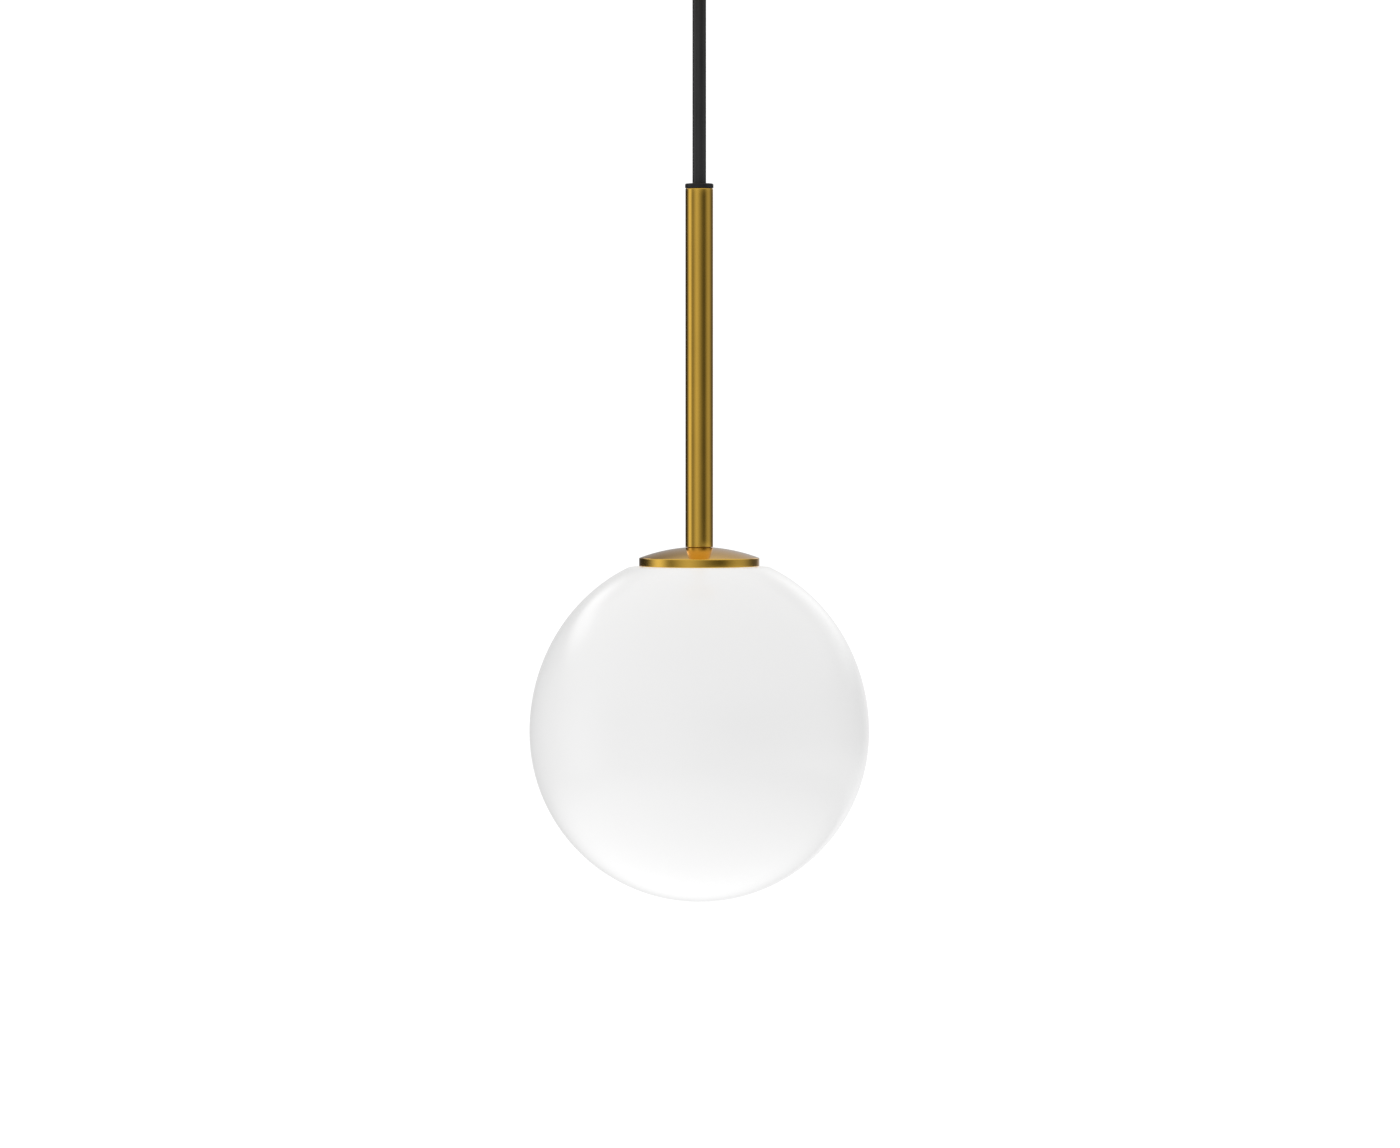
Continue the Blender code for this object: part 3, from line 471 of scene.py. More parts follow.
# Screws are given as (head radius, head height, shaft radius).
CLAMP_SCREW = (0.0015, 0.0012, 0.0011)
BLOCK_SCREW = (0.0020, 0.0014, 0.0011)
EARTH_SCREW = (0.0030, 0.0020, 0.0015)
UPWARDS = (0, 0, 1)
for number in range(1, 7):
    screw_like(f"terminal_screw_{number}", f"clamp_screw_{number}", zinc, "bracket", UPWARDS, *CLAMP_SCREW)
for number in (1, 2):
    screw_like(f"block_screw_{number}", f"moulding_screw_{number}", zinc, "bracket", UPWARDS, *BLOCK_SCREW)
screw_like("earth_screw", "bracket_earth_screw", zinc, "bracket", UPWARDS, *EARTH_SCREW)


# Wires in the canopy -------------------------------------------------------------------------------------
# Stranded copper in PVC, 1.6 mm across: brown, blue and green with a yellow stripe, each with a spare loop.
# They rise upright out of the cord's end on the cover and loop to the block on the bracket.
WIRE_RADIUS = 0.0008
POLE_HEIGHT = -0.0075
WIRE_ENTRY = 0.0112


def smooth_route(points, spacing):
    """Evenly spaced points along Catmull-Rom cubics through the given points."""
    route = np.array(points, float)
    ends = np.vstack([2 * route[0] - route[1], route, 2 * route[-1] - route[-2]])
    t = np.linspace(0, 1, 24, endpoint=False)[None, :, None]
    before, first, second, after = (ends[k:len(ends) - 3 + k, None, :] for k in range(4))
    dense = 0.5 * (2 * first + (second - before) * t + (2 * before - 5 * first + 4 * second - after) * t ** 2
                   + (3 * first - before - 3 * second + after) * t ** 3)
    dense = np.vstack([dense.reshape(-1, 3), route[-1]])
    travelled = np.concatenate([[0.0], np.cumsum(np.linalg.norm(np.diff(dense, axis=0), axis=1))])
    wanted = np.linspace(0, travelled[-1], max(3, round(travelled[-1] / spacing) + 1))
    return np.stack([np.interp(wanted, travelled, dense[:, axis]) for axis in range(3)], axis=1)


def tube(name, path, radius, columns=20, first=0.25, last=0.25):
    """A circle carried along a path, square to it, with rounded closed ends.

    The circle's first direction is turned from point to point only as far as the path bends. At an end, the
    circle shrinks by the cosine of an angle and moves along by the sine, times the end's share of the radius.
    """
    path = np.asarray(path, float)
    along = np.gradient(path, axis=0)
    along /= np.linalg.norm(along, axis=1, keepdims=True)
    side = np.cross(along[0], (0.0, 0.0, 1.0) if abs(along[0][2]) < 0.9 else (1.0, 0.0, 0.0))
    sides = []
    for direction in along:
        side = side - direction * (side @ direction)
        side = side / np.linalg.norm(side)
        sides.append(side)
    sides = np.array(sides)
    ups = np.cross(along, sides)
    bend = np.radians(np.linspace(90, 0, 9))
    order = np.concatenate([np.zeros(9, int), np.arange(1, len(path) - 1), np.full(9, len(path) - 1)])
    scale = np.concatenate([np.cos(bend), np.ones(len(path) - 2), np.cos(bend[::-1])])
    push = radius * np.concatenate(
        [first * (1 - np.sin(bend)), np.zeros(len(path) - 2), last * (np.sin(bend[::-1]) - 1)])
    angle = np.linspace(0, 2 * math.pi, columns, endpoint=False)[None, :, None]
    centre = path[order] + along[order] * push[:, None]
    ring = np.cos(angle) * sides[order][:, None, :] + np.sin(angle) * ups[order][:, None, :]
    points = centre[:, None, :] + radius * scale[:, None, None] * ring
    return surface(name, points, False)


# A Mix node has sockets for each kind of value. These are its two colours and its mixed colour.
MIX_COLOURS, MIX_RESULT = (6, 7), 2


def wire_finish(name, colour, stripe=None):
    """PVC insulation; a stripe covers three tenths of the way round, along the wire."""
    finish = Finish(name, colour, 0.34, Specular_IOR_Level=0.45, Coat_Weight=0.15, Coat_Roughness=0.25)
    if stripe:
        turn = finish.node("SeparateXYZ", Vector=finish.place(source="UV")).outputs["X"]
        from_seam = finish.node("Math", turn, 0.5, operation="PINGPONG").outputs[0]
        past_stripe = finish.node("MapRange", Value=from_seam, From_Min=0.145, From_Max=0.160)
        mix = finish.node("Mix", data_type="RGBA", Factor=past_stripe.outputs["Result"])
        for socket, paint in zip(MIX_COLOURS, (stripe, colour)):
            mix.inputs[socket].default_value = (*paint, 1)
        finish.tree.links.new(mix.outputs[MIX_RESULT], finish.shader.inputs["Base Color"])
    else:
        finish.vary(finish.noise(500), 0.10)
    return finish.polish(finish.noise(900), 0.28, 0.42).relief(finish.noise(1500), 0.00002, 0.4)


WIRE_FINISHES = {
    "live": wire_finish("brown_insulation", (0.16, 0.055, 0.022)),
    "neutral": wire_finish("blue_insulation", (0.03, 0.13, 0.42)),
    "earth": wire_finish("green_yellow_insulation", (0.03, 0.26, 0.05), stripe=(0.75, 0.62, 0.03)),
}
CANOPY_ROUTES = {
    "live": [(-0.0012, 0.0, -0.0168), (-0.0012, 0.0, -0.0159), (-0.0012, 0.0, -0.0150),
             (-0.0085, 0.0, -0.0122), (-0.0200, -0.0040, -0.0114), (-0.0270, 0.0010, -0.0108),
             (-0.0210, 0.0065, -0.0106), (-0.0080, 0.0035, -0.0098), (0.0030, 0.0002, -0.0080),
             (WIRE_ENTRY, 0.0, POLE_HEIGHT)],
    "neutral": [(0.0006, -0.0011, -0.0168), (0.0006, -0.0011, -0.0159), (0.0006, -0.0011, -0.0150),
                (-0.0050, -0.0100, -0.0125), (-0.0160, -0.0160, -0.0120), (-0.0250, -0.0220, -0.0116),
                (-0.0200, -0.0280, -0.0110), (-0.0080, -0.0240, -0.0100), (0.0020, -0.0140, -0.0080),
                (WIRE_ENTRY, -0.0100, POLE_HEIGHT)],
    "earth": [(0.0006, 0.0011, -0.0168), (0.0006, 0.0011, -0.0159), (0.0006, 0.0011, -0.0150),
              (-0.0050, 0.0100, -0.0140), (-0.0160, 0.0160, -0.0135), (-0.0250, 0.0220, -0.0130),
              (-0.0200, 0.0270, -0.0125), (-0.0080, 0.0230, -0.0115), (0.0020, 0.0140, -0.0090),
              (WIRE_ENTRY, 0.0100, POLE_HEIGHT)],
}
for pole, route in CANOPY_ROUTES.items():
    wire = tube(f"spare_wire_{pole}", smooth_route(route, 0.0009), WIRE_RADIUS)
    show(wire, WIRE_FINISHES[pole], None, f"canopy_wire_{pole}")
    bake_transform(wire)

EARTH_LINK_ROUTE = [(0.0248, 0.0100, POLE_HEIGHT), (0.0310, 0.0102, -0.0074), (0.0345, 0.0150, -0.0068),
                    (0.0300, 0.0205, -0.0060), (0.0160, 0.0225, -0.0052), (0.0000, 0.0235, -0.0042),
                    (-0.0100, 0.0222, -0.0034), (-0.0140, 0.0184, -0.0031), (-0.0140, 0.0162, -0.0031)]
link = tube("earth_link_wire", smooth_route(EARTH_LINK_ROUTE, 0.0009), WIRE_RADIUS)
show(link, WIRE_FINISHES["earth"], "bracket", "earth_link")


# Canopy cover --------------------------------------------------------------------------------------------
# A cup of brass-plated steel, drawn from sheet with a rounded lower edge. Two slots, open at its top edge,
# hang it on the side screws in the bracket's ears, whose heads then clamp it.
brass = Finish("satin_brass", (0.79, 0.470, 0.042), 0.2, 1.0, Specular_Tint=(1.0, 0.82, 0.66, 1.0),
               Coat_Weight=1.0, Coat_Roughness=0.12)
brass.vary(brass.noise(38, detail=5), 0.035).polish(brass.noise(55, detail=4), 0.13, 0.18)
brass.relief(brass.noise(3800, stretch=(1, 1, 0.03)), 0.000004, 0.08).relief(brass.noise(60), 0.00003, 0.06)

cover_low, cover_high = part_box("canopy_cover")
COVER_RADIUS = cover_high[0]
SHEET = 0.0010
COVER_HOLE = 0.0052
SLOT_HALF = 0.0018
SLOT_END = -0.0070


def cut(piece, tool):
    """Cut the tool out of the piece, then delete the tool."""
    knife = piece.modifiers.new("Cut", "BOOLEAN")
    knife.operation = "DIFFERENCE"
    knife.solver = "EXACT"
    knife.object = tool
    result = bpy.data.meshes.new_from_object(piece.evaluated_get(bpy.context.evaluated_depsgraph_get()))
    piece.modifiers.clear()
    piece.data = result
    bpy.data.objects.remove(tool)
    result.shade_smooth()
    result.set_sharp_from_angle(angle=SHARP_ANGLE)


edge, rim = 0.0030, 0.0003
floor_under, floor_top, cover_inside = cover_low[2], cover_low[2] + SHEET, COVER_RADIUS - SHEET
cover_profile = filleted(
    [(COVER_HOLE, floor_under, 0.0002), (COVER_RADIUS, floor_under, edge), (COVER_RADIUS, cover_high[2], rim),
     (cover_inside, cover_high[2], rim), (cover_inside, floor_top, edge - SHEET),
     (COVER_HOLE, floor_top, 0.0002)], closed=True, steps=8)
cover = turned("canopy_cup", cover_profile, 192)
for side in (1, -1):
    angle = np.linspace(math.pi, 2 * math.pi, 17)
    outline = np.stack([SLOT_HALF * np.cos(angle), SLOT_END + SLOT_HALF * np.sin(angle)], axis=1)
    outline = np.vstack([[(-SLOT_HALF, 0.002)], outline, [(SLOT_HALF, 0.002)]])
    ring = np.stack([np.zeros(len(outline)), outline[:, 0], outline[:, 1]], axis=1)
    hub = 0 * ring + (0.0, 0.0, -0.003)
    back, front = ((side * COVER_RADIUS + offset, 0, 0) for offset in (-0.004, 0.004))
    rows = np.stack([hub + back, ring + back, ring + front, hub + front])
    cut(cover, surface("slot_knife", rows, False))
show(cover, brass, "canopy", "canopy_cover")
COVER_SCREW = (0.0028, 0.0022, 0.0015)
for number, side in ((1, 1), (2, -1)):
    inwards = (-side, 0, 0)
    screw_like(f"canopy_screw_{number}", f"cover_screw_{number}", brass, "bracket", inwards, *COVER_SCREW)


# Cord grip -----------------------------------------------------------------------------------------------
# A black nylon gland through the cover's floor: a ribbed collar with a bell mouth below, a nut above and a
# small side screw that pinches the cord, so that the light's weight doesn't pull on the wires.
CORD_RADIUS = 0.0030
BORE = CORD_RADIUS + 0.0003
black_nylon = Finish("black_nylon", (0.010, 0.010, 0.011), 0.40, Specular_IOR_Level=0.4)
black_nylon.vary(black_nylon.noise(300), 0.25).polish(black_nylon.noise(600), 0.34, 0.50)
black_nylon.relief(black_nylon.noise(5200), 0.00001, 0.5)

grip_low, grip_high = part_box("cord_grip")
GRIP_COLLAR = grip_high[0]
GRIP_SHANK = 0.0049
GRIP_FLARE = 0.0028
flange = cover_low[2] - 0.0003
bell = np.linspace(0, math.pi / 2, 10)
mouth = np.stack([BORE + GRIP_FLARE * (1 - np.sin(bell)),
                  grip_low[2] + GRIP_FLARE * (1 - np.cos(bell))], axis=1)
collar = filleted([(BORE, grip_high[2], 0), (GRIP_SHANK, grip_high[2], 0.0003), (GRIP_SHANK, flange, 0),
                   (GRIP_COLLAR, flange, 0.0004), (GRIP_COLLAR, grip_low[2], 0.0012), (*mouth[0], 0)],
                  closed=False, steps=6)
grip_profile = fine(np.vstack([collar, mouth[1:]]), 0.00016)
RIBS, RIB_DEPTH, RIB_FADE, ABOVE_FOOT, UNDER_FLANGE = 30, 0.00028, 0.0006, 0.0014, 0.0008
FINE_PITCH = 0.0010


def ribbed(radius, height, angle):
    """Ribs round the collar: a rounded wave of the angle, which fades out towards both ends of the collar."""
    wave = 0.5 - 0.5 * np.cos(RIBS * angle)
    from_foot, from_top = height - grip_low[2] - ABOVE_FOOT, flange - UNDER_FLANGE - height
    fade = np.clip(from_foot / RIB_FADE, 0, 1) * np.clip(from_top / RIB_FADE, 0, 1)
    grow = -RIB_DEPTH * wave ** 2 * fade * (radius > GRIP_COLLAR - 0.0002)
    screwed, _ = thread(FINE_PITCH, 0.00022, GRIP_SHANK * 0.99, GRIP_SHANK * 1.01, flange + 0.0014,
                        grip_high[2] - 0.0004)(radius, height, angle)
    return grow + screwed, 0 * radius


grip = turned("cord_gland", grip_profile, 240, ribbed)
side_low, side_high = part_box("cord_grip_screw")
side_height = (side_low[2] + side_high[2]) / 2
DRILL, DRILL_START, DRILL_LENGTH = 0.0018, 0.0012, 0.0080
drill_profile = [(0, 0), (DRILL, 0), (DRILL, DRILL_LENGTH), (0, DRILL_LENGTH)]
cut(grip, turned("grip_drill", drill_profile, 32, matrix=facing((1, 0, 0), (DRILL_START, 0, side_height))))
show(grip, black_nylon, "canopy", "cord_grip")
GLAND_SCREW = (0.0015, 0.0010, 0.0013)
screw_like("cord_grip_screw", "gland_side_screw", black_nylon, "canopy", (-1, 0, 0), *GLAND_SCREW)


CHAMFER = 0.0003
CONE_START, CONE_SLOPE = 0.985, 1.7
NUT_HALF_FLATS = 0.0070


def nut(name, node, half_flats, bore, finish, body):
    """A hexagon nut with a chamfered face on both sides and a chamfered bore.

    The outside is the hexagon's radius, half_flats / cos(angle from the middle of a flat), or the radius of a
    cone that closes towards each face, whichever is smaller.
    """
    low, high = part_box(node)
    corner = half_flats / math.cos(math.pi / 6)
    lead = bore + CHAMFER
    profile = np.array([(lead, low[2]), (corner, low[2]), (corner, high[2]), (lead, high[2]),
                        (bore, high[2] - CHAMFER), (bore, low[2] + CHAMFER)])
    profile = np.vstack([fine(profile[:4], 0.00018), profile[4:]])

    def hexagon(radius, height, angle):
        sector = (angle + math.pi / 6) % (math.pi / 3) - math.pi / 6
        face = half_flats / np.cos(sector)
        cone = half_flats * CONE_START + np.minimum(height - low[2], high[2] - height) * CONE_SLOPE
        limit = np.minimum(face, cone)
        return np.where(radius > bore + 0.0004, np.minimum(radius, limit) - radius, 0.0), 0 * radius
    return show(turned(name, profile, 180, hexagon), finish, body, node)


nut("gland_nut", "cord_grip_nut", NUT_HALF_FLATS, GRIP_SHANK + 0.0003, black_nylon, "canopy")


# Cord ----------------------------------------------------------------------------------------------------
# Round three-core cord with a smooth black PVC sheath, 6 mm across. It is held taut by the light's weight,
# from the grip's mouth, where it bends when the light swings, down to the bush in the top of the stem.
SWING_POINT = -0.0340
bush_low, bush_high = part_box("stem_bush")
sheath = Finish("black_sheath", (0.017, 0.017, 0.018), 0.40, Specular_IOR_Level=0.55)
sheath.vary(sheath.noise(160, stretch=(1, 1, 0.3)), 0.20)
sheath.polish(sheath.noise(240, stretch=(1, 1, 0.2)), 0.34, 0.46)
sheath.relief(sheath.noise(900, stretch=(1, 1, 0.05)), 0.00003, 0.35)
sheath.relief(sheath.noise(4200), 0.000008, 0.4)


def plumb(top, bottom, count):
    """Evenly spaced points straight down the light's axis."""
    heights = np.linspace(top, bottom, count)
    return np.stack([0 * heights, 0 * heights, heights], axis=1)


cord_top = SWING_POINT + CORD_RADIUS
cord_end = bush_high[2] - 0.0003
cord_path = plumb(cord_top, cord_end, 60)
cord = tube("hanging_cord", cord_path, CORD_RADIUS, 64, first=1.0, last=0.04)
show(cord, sheath, "cord", "cord", "cord_flex")

sheath_low, sheath_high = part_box("cord_in_canopy")
inner_path = plumb(sheath_high[2], sheath_low[2], 14)
show(tube("cord_end", inner_path, CORD_RADIUS, 48), sheath, "canopy", "cord_in_canopy")
stem_cord_low, stem_cord_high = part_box("cord_in_stem")
stem_path = plumb(stem_cord_high[2], stem_cord_low[2], 40)
show(tube("cord_inside_stem", stem_path, CORD_RADIUS, 48), sheath, "lamp", "cord_in_stem")


# Stem ----------------------------------------------------------------------------------------------------
# A polished, lacquered brass tube. A black nylon bush with a thin flange closes its top round the cord, a
# crimped steel stop sits on the cord under the bush, and a threaded nipple joins the tube to the cap.
BUSH_SHANK, BUSH_FLANGE = 0.0047, 0.0020
bush_radius, flange_bottom = bush_high[0], bush_high[2] - BUSH_FLANGE
bush_profile = filleted([(BORE, bush_high[2], 0.0003), (bush_radius, bush_high[2], 0.0005),
                         (bush_radius, flange_bottom, 0.0003), (BUSH_SHANK, flange_bottom, 0.0001),
                         (BUSH_SHANK, bush_low[2], 0.0003), (BORE, bush_low[2], 0.0002)],
                        closed=True, steps=6)
show(turned("stem_bush_moulding", bush_profile, 128), black_nylon, "lamp", "stem_bush")

stem_low, stem_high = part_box("stem_tube")
STEM_RADIUS, STEM_BORE = stem_high[0], 0.0050
STEM_SEAT = 0.00020
stem_top, stem_foot = stem_high[2] + STEM_SEAT, stem_low[2] - STEM_SEAT
stem_profile = fine(filleted(
    [(STEM_BORE, stem_top, 0.0001), (STEM_RADIUS, stem_top, 0.0005), (STEM_RADIUS, stem_foot, 0.0001),
     (STEM_BORE, stem_foot, 0.0001)], closed=True), 0.004)
show(turned("brass_stem", stem_profile, 160), brass, "lamp", "stem_tube")

stop_low, stop_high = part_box("cord_stop")
STOP_RADIUS, CRIMPS, CRIMP_DEPTH = 0.0045, 8, 0.00022


def crimped(radius, height, angle):
    """Flats pressed round the stop: a wave of the angle times an arch over the stop's length."""
    share = np.clip((height - stop_low[2]) / (stop_high[2] - stop_low[2]), 0, 1)
    wave = 0.5 - 0.5 * np.cos(CRIMPS * angle)
    return -CRIMP_DEPTH * wave * np.sin(math.pi * share) * (radius > 0.0040), 0 * radius


def band(inner, outer, low, high, inner_fillet, outer_fillet, steps=4):
    """The profile of a plain ring: a rectangle whose inner and outer corners have a fillet each."""
    return filleted([(inner, high, inner_fillet), (outer, high, outer_fillet), (outer, low, outer_fillet),
                     (inner, low, inner_fillet)], True, steps)


stop_profile = band(BORE, STOP_RADIUS, stop_low[2], stop_high[2], 0.0001, 0.0003)
show(turned("crimped_stop", fine(stop_profile, 0.0006), 96, crimped), zinc, "lamp", "cord_stop")

nipple_low, nipple_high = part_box("stem_nipple")
NIPPLE, NIPPLE_BORE = 0.0047, 0.0035
nipple_profile = band(NIPPLE_BORE, NIPPLE, nipple_low[2], nipple_high[2], 0.0002, 0.0003)
nipple_thread = thread(FINE_PITCH, 0.00026, NIPPLE * 0.99, NIPPLE * 1.01, nipple_low[2] + 0.0004,
                       nipple_high[2] - 0.0004)
show(turned("threaded_nipple", fine(nipple_profile, 0.00020), 72, nipple_thread), zinc, "lamp", "stem_nipple")


# Globe cap -----------------------------------------------------------------------------------------------
# Spun brass: a shallow spherical dome with an upright rim and a crisp, slightly rounded edge between them.
# The stem stands on its middle, and a white silicone gasket inside the rim beds the glass.
cap_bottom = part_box("globe_cap")[0][2]
CAP_RADIUS = 0.02655
DOME_RADIUS = 0.0746
RIM_TOP = -0.2943
CAP_SHEET = 0.0010
CAP_HOLE = NIPPLE + 0.0003
BOSS = 0.0115
EDGE_ROUND = 0.0005
dome_centre = RIM_TOP - math.sqrt(DOME_RADIUS ** 2 - CAP_RADIUS ** 2)


def dome(radii, shell):
    """Points on a sphere: the centre's height plus the root of shell squared minus radius squared."""
    return np.stack([radii, dome_centre + np.sqrt(shell ** 2 - radii ** 2)], axis=1)


dome_outside = dome(np.linspace(CAP_HOLE, CAP_RADIUS - 3 * EDGE_ROUND, 40), DOME_RADIUS)
dome_inside = dome(np.linspace(CAP_RADIUS - CAP_SHEET, BOSS, 24), DOME_RADIUS - CAP_SHEET)
rim_corners = filleted([(*dome_outside[-1], 0), (CAP_RADIUS, RIM_TOP, EDGE_ROUND),
                        (CAP_RADIUS, cap_bottom, 0.0002), (CAP_RADIUS - CAP_SHEET, cap_bottom, 0.0002),
                        (*dome_inside[0], 0)], closed=False, steps=6)
cap_profile = np.vstack([dome_outside, rim_corners[1:-1], dome_inside, [(CAP_HOLE, dome_inside[-1][1])]])
show(turned("spun_cap", cap_profile, 240), brass, "lamp", "globe_cap")

silicone = Finish("white_silicone", (0.78, 0.78, 0.76), 0.58, Subsurface_Weight=0.25, Subsurface_Scale=0.0015)
silicone.vary(silicone.noise(200), 0.03).polish(silicone.noise(400), 0.50, 0.66)
silicone.relief(silicone.noise(3000), 0.00001)
gasket_low, gasket_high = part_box("globe_gasket")
GASKET_INSIDE, GASKET_OUTSIDE = 0.0213, 0.0250
gasket_profile = band(GASKET_INSIDE, GASKET_OUTSIDE, gasket_low[2], gasket_high[2], 0.0004, 0.0005, 5)
show(turned("silicone_gasket", gasket_profile, 160), silicone, "lamp", "globe_gasket")


# Globe spring, strap and fixings -------------------------------------------------------------------------
# A three-legged spider of spring steel whose legs hook out under the glass neck, and a hat-shaped steel strap
# for the lampholder. A toothed washer and a nut on the nipple clamp both, and the cap, against the stem.
spring_steel = Finish("spring_steel", (0.40, 0.41, 0.43), 0.28, 1.0)
spring_steel.vary(spring_steel.noise(300), 0.10).polish(spring_steel.noise(500), 0.22, 0.36)
spring_steel.relief(spring_steel.noise(2200, stretch=(1, 1, 0.2)), 0.00001, 0.5)
refined("globe_spring", "spring_spider", spring_steel, "lamp", 0.00012)
refined("lampholder_strap", "hat_strap", zinc, "lamp", 0.00025)
refined("strap_lug", "strap_ring_lug", zinc, "lamp", 0.00012)
nut("brass_hex_nut", "hex_nut", NUT_HALF_FLATS, CAP_HOLE, turned_brass, "lamp")

washer_low, washer_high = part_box("lock_washer")
WASHER_RADIUS = 0.0078
TEETH, TOOTH_ROOT, TOOTH_LENGTH, TOOTH_TWIST, TWIST_ROOM = 18, 0.0064, 0.0010, 0.00012, 0.00013


def toothed(radius, height, angle):
    """Teeth round the outer edge: a clipped wave of the angle steps the radius in over the gaps.

    Each tooth also gets thicker and thinner by a sine of the angle, on both faces.
    """
    wave = np.clip(3 * np.cos(TEETH * angle), -1, 1) * 0.5 + 0.5
    outer = np.clip((radius - TOOTH_ROOT) / TOOTH_LENGTH, 0, 1)
    side = np.sign(height - (washer_low[2] + washer_high[2]) / 2)
    return -TOOTH_LENGTH * outer * (1 - wave), TOOTH_TWIST * outer * np.sin(TEETH * angle) * side


washer_profile = band(CAP_HOLE, WASHER_RADIUS, washer_low[2], washer_high[2], 0.0001, 0.0001)
washer_profile[:, 1] = np.clip(washer_profile[:, 1], washer_low[2] + TWIST_ROOM, washer_high[2] - TWIST_ROOM)
washer = turned("toothed_washer", fine(washer_profile, 0.00035), 288, toothed)
show(washer, spring_steel, "lamp", "lock_washer")
STRAP_SCREW = (0.0027, 0.0016, 0.0015)
screw_like("strap_earth_screw", "strap_screw", zinc, "lamp", (1, 0, 0), *STRAP_SCREW)


# Lampholder ----------------------------------------------------------------------------------------------
# Unglazed steatite pressed in one piece, with a screw ear on each side and two pockets for the lamp's pins.
# A folded bronze contact grips each pin.
steatite = Finish("steatite", (0.80, 0.78, 0.72), 0.55)
steatite.vary(steatite.noise(1300, detail=6), 0.05).polish(steatite.noise(400), 0.46, 0.64)
steatite.relief(steatite.noise(2400, detail=5), 0.00002, 0.6)
refined("lampholder", "steatite_holder", steatite, "lamp", 0.00015)
for pole in ("live", "neutral"):
    refined(f"contact_{pole}", f"bronze_contact_{pole}", turned_brass, "lamp", 0.00008)
HOLDER_SCREW = (0.0025, 0.0016, 0.0015)
for number in (1, 2):
    screw_like(f"lampholder_screw_{number}", f"holder_screw_{number}", zinc, "lamp", UPWARDS, *HOLDER_SCREW)


# Wires in the cap ----------------------------------------------------------------------------------------
# The cord's three cores leave the sheath inside the stem and come down through the nipple. Brown and blue go
# into the holder's two top holes, green and yellow to the strap's earth screw.
PIN_SPACING = 0.0045
CORE_TOP, CORE_END = -0.2623, -0.3190
LAMP_ROUTES = {
    "live": [(0.0012, 0.0, CORE_TOP), (0.0012, 0.0, -0.2800), (0.0012, 0.0, -0.3010), (0.0030, 0.0, -0.3070),
             (0.0044, 0.0, -0.3115), (PIN_SPACING, 0.0, -0.3150), (PIN_SPACING, 0.0, CORE_END)],
    "neutral": [(-0.0006, -0.0011, CORE_TOP), (-0.0006, -0.0011, -0.2800), (-0.0008, -0.0011, -0.3010),
                (-0.0028, -0.0006, -0.3070), (-0.0044, 0.0, -0.3115), (-PIN_SPACING, 0.0, -0.3150),
                (-PIN_SPACING, 0.0, CORE_END)],
    "earth": [(-0.0006, 0.0011, CORE_TOP), (-0.0006, 0.0011, -0.2800), (-0.0006, 0.0013, -0.3010),
              (-0.0016, 0.0050, -0.3060), (-0.0050, 0.0098, -0.3072), (-0.0094, 0.0122, -0.3058),
              (-0.0118, 0.0115, -0.3042), (-0.0118, 0.0091, -0.3040)],
}
for pole, route in LAMP_ROUTES.items():
    core = tube(f"core_{pole}", smooth_route(route, 0.0009), WIRE_RADIUS)
    show(core, WIRE_FINISHES[pole], "lamp", f"lamp_wire_{pole}")


# Capsule lamp --------------------------------------------------------------------------------------------
# A two-pin capsule lamp pushed up into the holder: a ceramic foot with two hairpin pins, a light board and a
# frosted glass envelope over it. It is pulled straight down to change it.
lamp_ceramic = Finish("lamp_ceramic", (0.86, 0.85, 0.82), 0.35)
lamp_ceramic.vary(lamp_ceramic.noise(700), 0.03).polish(lamp_ceramic.noise(350), 0.28, 0.44)
lamp_ceramic.relief(lamp_ceramic.noise(2000), 0.00001, 0.5)
refined("bulb_base", "lamp_foot", lamp_ceramic, "bulb", 0.0002)

PIN_RADIUS, PIN_SPREAD = 0.0004, 0.0008
for number, side in ((1, 1), (2, -1)):
    pin_low, pin_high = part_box(f"bulb_pin_{number}")
    turns = np.linspace(math.pi, 0, 17)
    top = pin_high[2] - PIN_RADIUS - PIN_SPREAD
    bend = np.stack([PIN_SPREAD * np.cos(turns), 0 * turns, top + PIN_SPREAD * np.sin(turns)], axis=1)
    leg = np.linspace(pin_low[2], top, 14)[:-1]
    down = np.stack([np.full(13, PIN_SPREAD), np.zeros(13), leg[::-1]], axis=1)
    path = np.vstack([down[::-1] * (-1, 1, 1), bend, down]) + (side * PIN_SPACING, 0, 0)
    show(tube(f"hairpin_{number}", path, PIN_RADIUS, 16), zinc, "bulb", f"bulb_pin_{number}")

phosphor = Finish("light_board", (0.80, 0.80, 0.76), 0.45)
upright = phosphor.node("Mapping", Vector=phosphor.node("TexCoord").outputs["Object"],
                        Rotation=(math.pi / 2, 0, 0))
cell = phosphor.node("TexBrick", Vector=upright.outputs[0], Scale=1.0, Mortar_Size=0.0006,
                     Brick_Width=0.0030, Row_Height=0.0030, Mortar=(0.82, 0.82, 0.80, 1),
                     Color1=(0.80, 0.62, 0.10, 1), Color2=(0.84, 0.68, 0.14, 1))
phosphor.tree.links.new(cell.outputs["Color"], phosphor.shader.inputs["Base Color"])
phosphor.polish(phosphor.noise(900), 0.36, 0.52).relief(phosphor.noise(2500), 0.00001, 0.5)
refined("light_board", "phosphor_board", phosphor, "bulb", 0.0002)

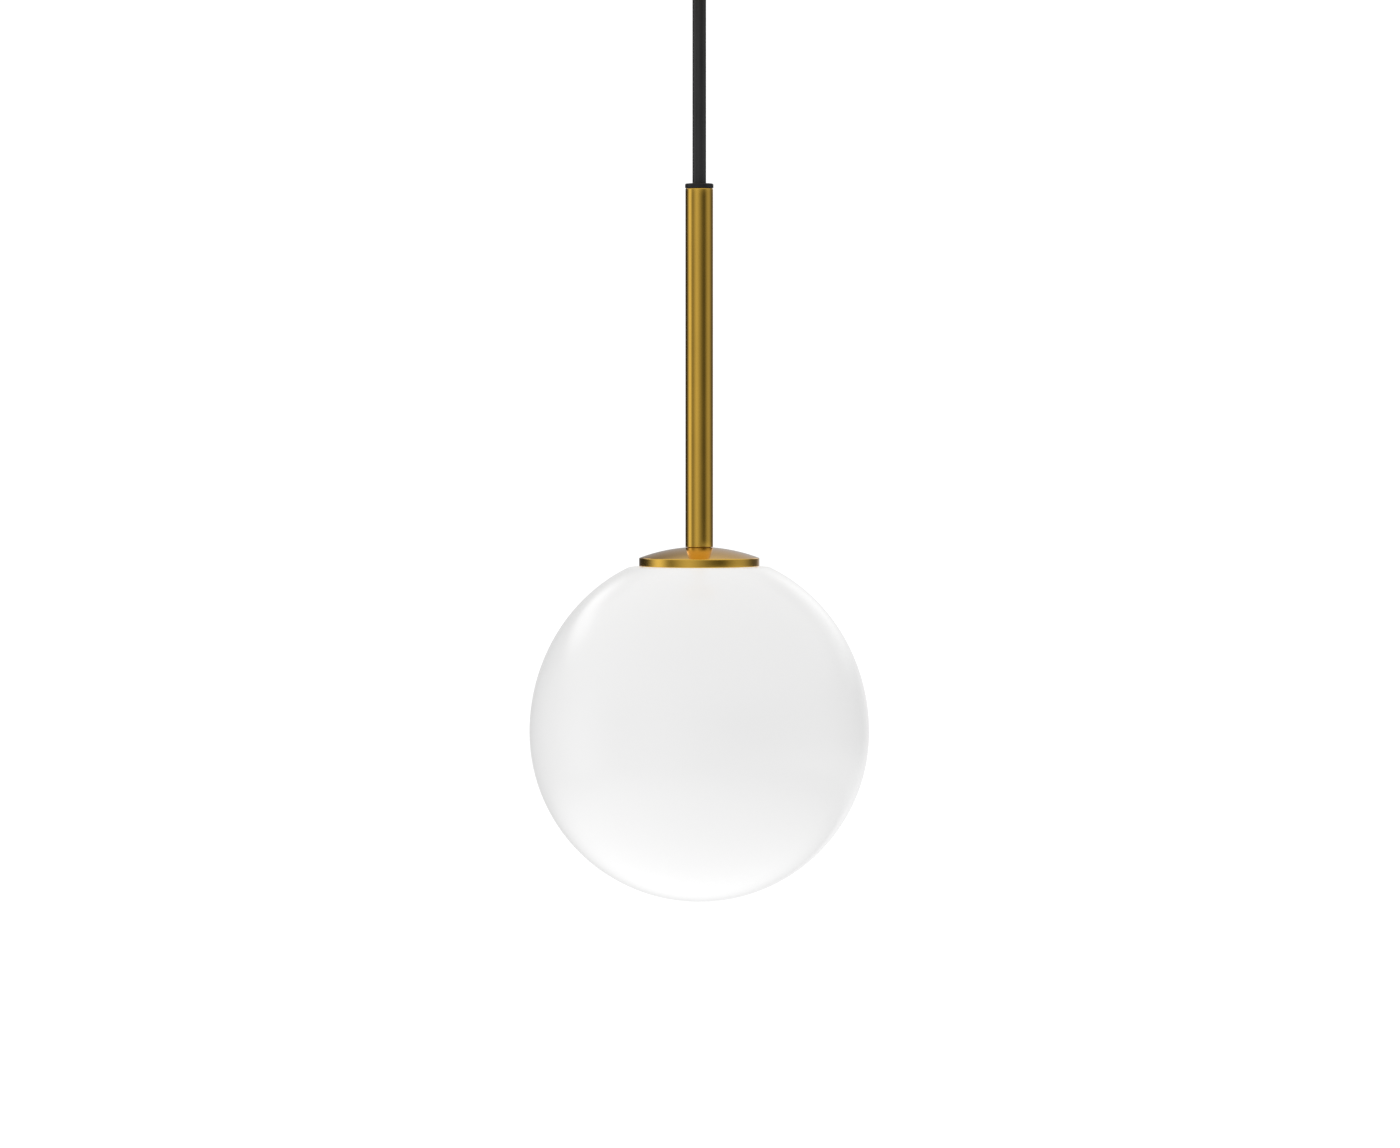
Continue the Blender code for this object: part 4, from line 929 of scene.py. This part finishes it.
envelope_low, envelope_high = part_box("bulb_envelope")
ENVELOPE_RADIUS, ENVELOPE_WALL = 0.0075, 0.0008
frosted = Finish("frosted_lamp_glass", (0.93, 0.93, 0.91), 0.45, Transmission_Weight=0.35, IOR=1.46)
frosted.vary(frosted.noise(300), 0.02).polish(frosted.noise(800), 0.38, 0.52)
frosted.relief(frosted.noise(4000), 0.00001)
ENVELOPE_INSIDE = ENVELOPE_RADIUS - ENVELOPE_WALL
turns = np.linspace(-math.pi / 2, 0, 24)
around, along = np.cos(turns), np.sin(turns)
nose = envelope_low[2] + ENVELOPE_RADIUS
outside = np.stack([ENVELOPE_RADIUS * around, nose + ENVELOPE_RADIUS * along], axis=1)
inside = np.stack([ENVELOPE_INSIDE * around, nose + ENVELOPE_INSIDE * along], axis=1)[::-1]
lip = filleted([(*outside[-1], 0), (ENVELOPE_RADIUS, envelope_high[2], 0.0003),
                (ENVELOPE_INSIDE, envelope_high[2], 0.0003), (*inside[0], 0)], closed=False)
envelope_profile = np.vstack([outside, lip[1:-1], inside])
envelope_profile[0, 0] = envelope_profile[-1, 0] = 0.0
show(turned("frosted_envelope", envelope_profile, 96), frosted, "bulb", "bulb_envelope")


# Globe ---------------------------------------------------------------------------------------------------
# Mouth-blown opal glass, white all through and glossy outside: half a sphere below, a slightly taller half
# ellipse above, a flat seat under the cap's rim, and a short neck that the spring's legs hold from inside.
globe_low, globe_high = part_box("globe")
GLOBE_RADIUS = 0.0750
GLOBE_UPPER = 0.0800
GLASS = 0.0025
SEAT_ABOVE_EQUATOR = 0.0728
NECK_OUTSIDE, NECK_INSIDE = 0.0210, 0.0185
SHOULDER_ROUND = 0.0022
equator = globe_low[2] + GLOBE_RADIUS
seat = equator + SEAT_ABOVE_EQUATOR

# Painted light: a weak white emission makes the glass glow evenly, though the lamp inside gives no light. It
# brightens the globe and flattens its shading towards the edges, and the grey base colour is kept lower to
# make up for it.
opal = Finish("opal_glass", (0.655, 0.655, 0.655), 0.2, Specular_IOR_Level=0.38, Emission_Color=(1, 1, 1, 1),
              Emission_Strength=0.405)
opal.vary(opal.noise(9, detail=2), 0.008).polish(opal.noise(30), 0.17, 0.23)
opal.relief(opal.noise(14, detail=1), 0.0004, 0.10)


def globe_curve(sideways, upper, top):
    """A quarter circle from the bottom pole to the equator, then an ellipse of height upper up to the top."""
    low = np.radians(np.linspace(-90, 0, 72))
    high = np.linspace(0, math.asin(top / upper), 64)[1:]
    lower = np.stack([sideways * np.cos(low), equator + sideways * np.sin(low)], axis=1)
    return np.vstack([lower, np.stack([sideways * np.cos(high), equator + upper * np.sin(high)], axis=1)])


outer = globe_curve(GLOBE_RADIUS, GLOBE_UPPER, SEAT_ABOVE_EQUATOR)
inner = globe_curve(GLOBE_RADIUS - GLASS, GLOBE_UPPER - GLASS, SEAT_ABOVE_EQUATOR - GLASS)
near_seat = outer[:, 1] < seat - 0.8 * SHOULDER_ROUND
neck = filleted([(*outer[near_seat][-1], 0), (*outer[-1], SHOULDER_ROUND), (NECK_OUTSIDE, seat, 0.0006),
                 (NECK_OUTSIDE, globe_high[2], 0.0010), (NECK_INSIDE, globe_high[2], 0.0010),
                 (NECK_INSIDE, seat - GLASS, 0.0015), (*inner[-1], 0)], closed=False, steps=8)
globe_profile = np.vstack([outer[near_seat], neck[1:-1], inner[::-1]])
globe_profile[0, 0] = globe_profile[-1, 0] = 0.0
show(turned("opal_globe", globe_profile, 224), opal, "globe", "globe")
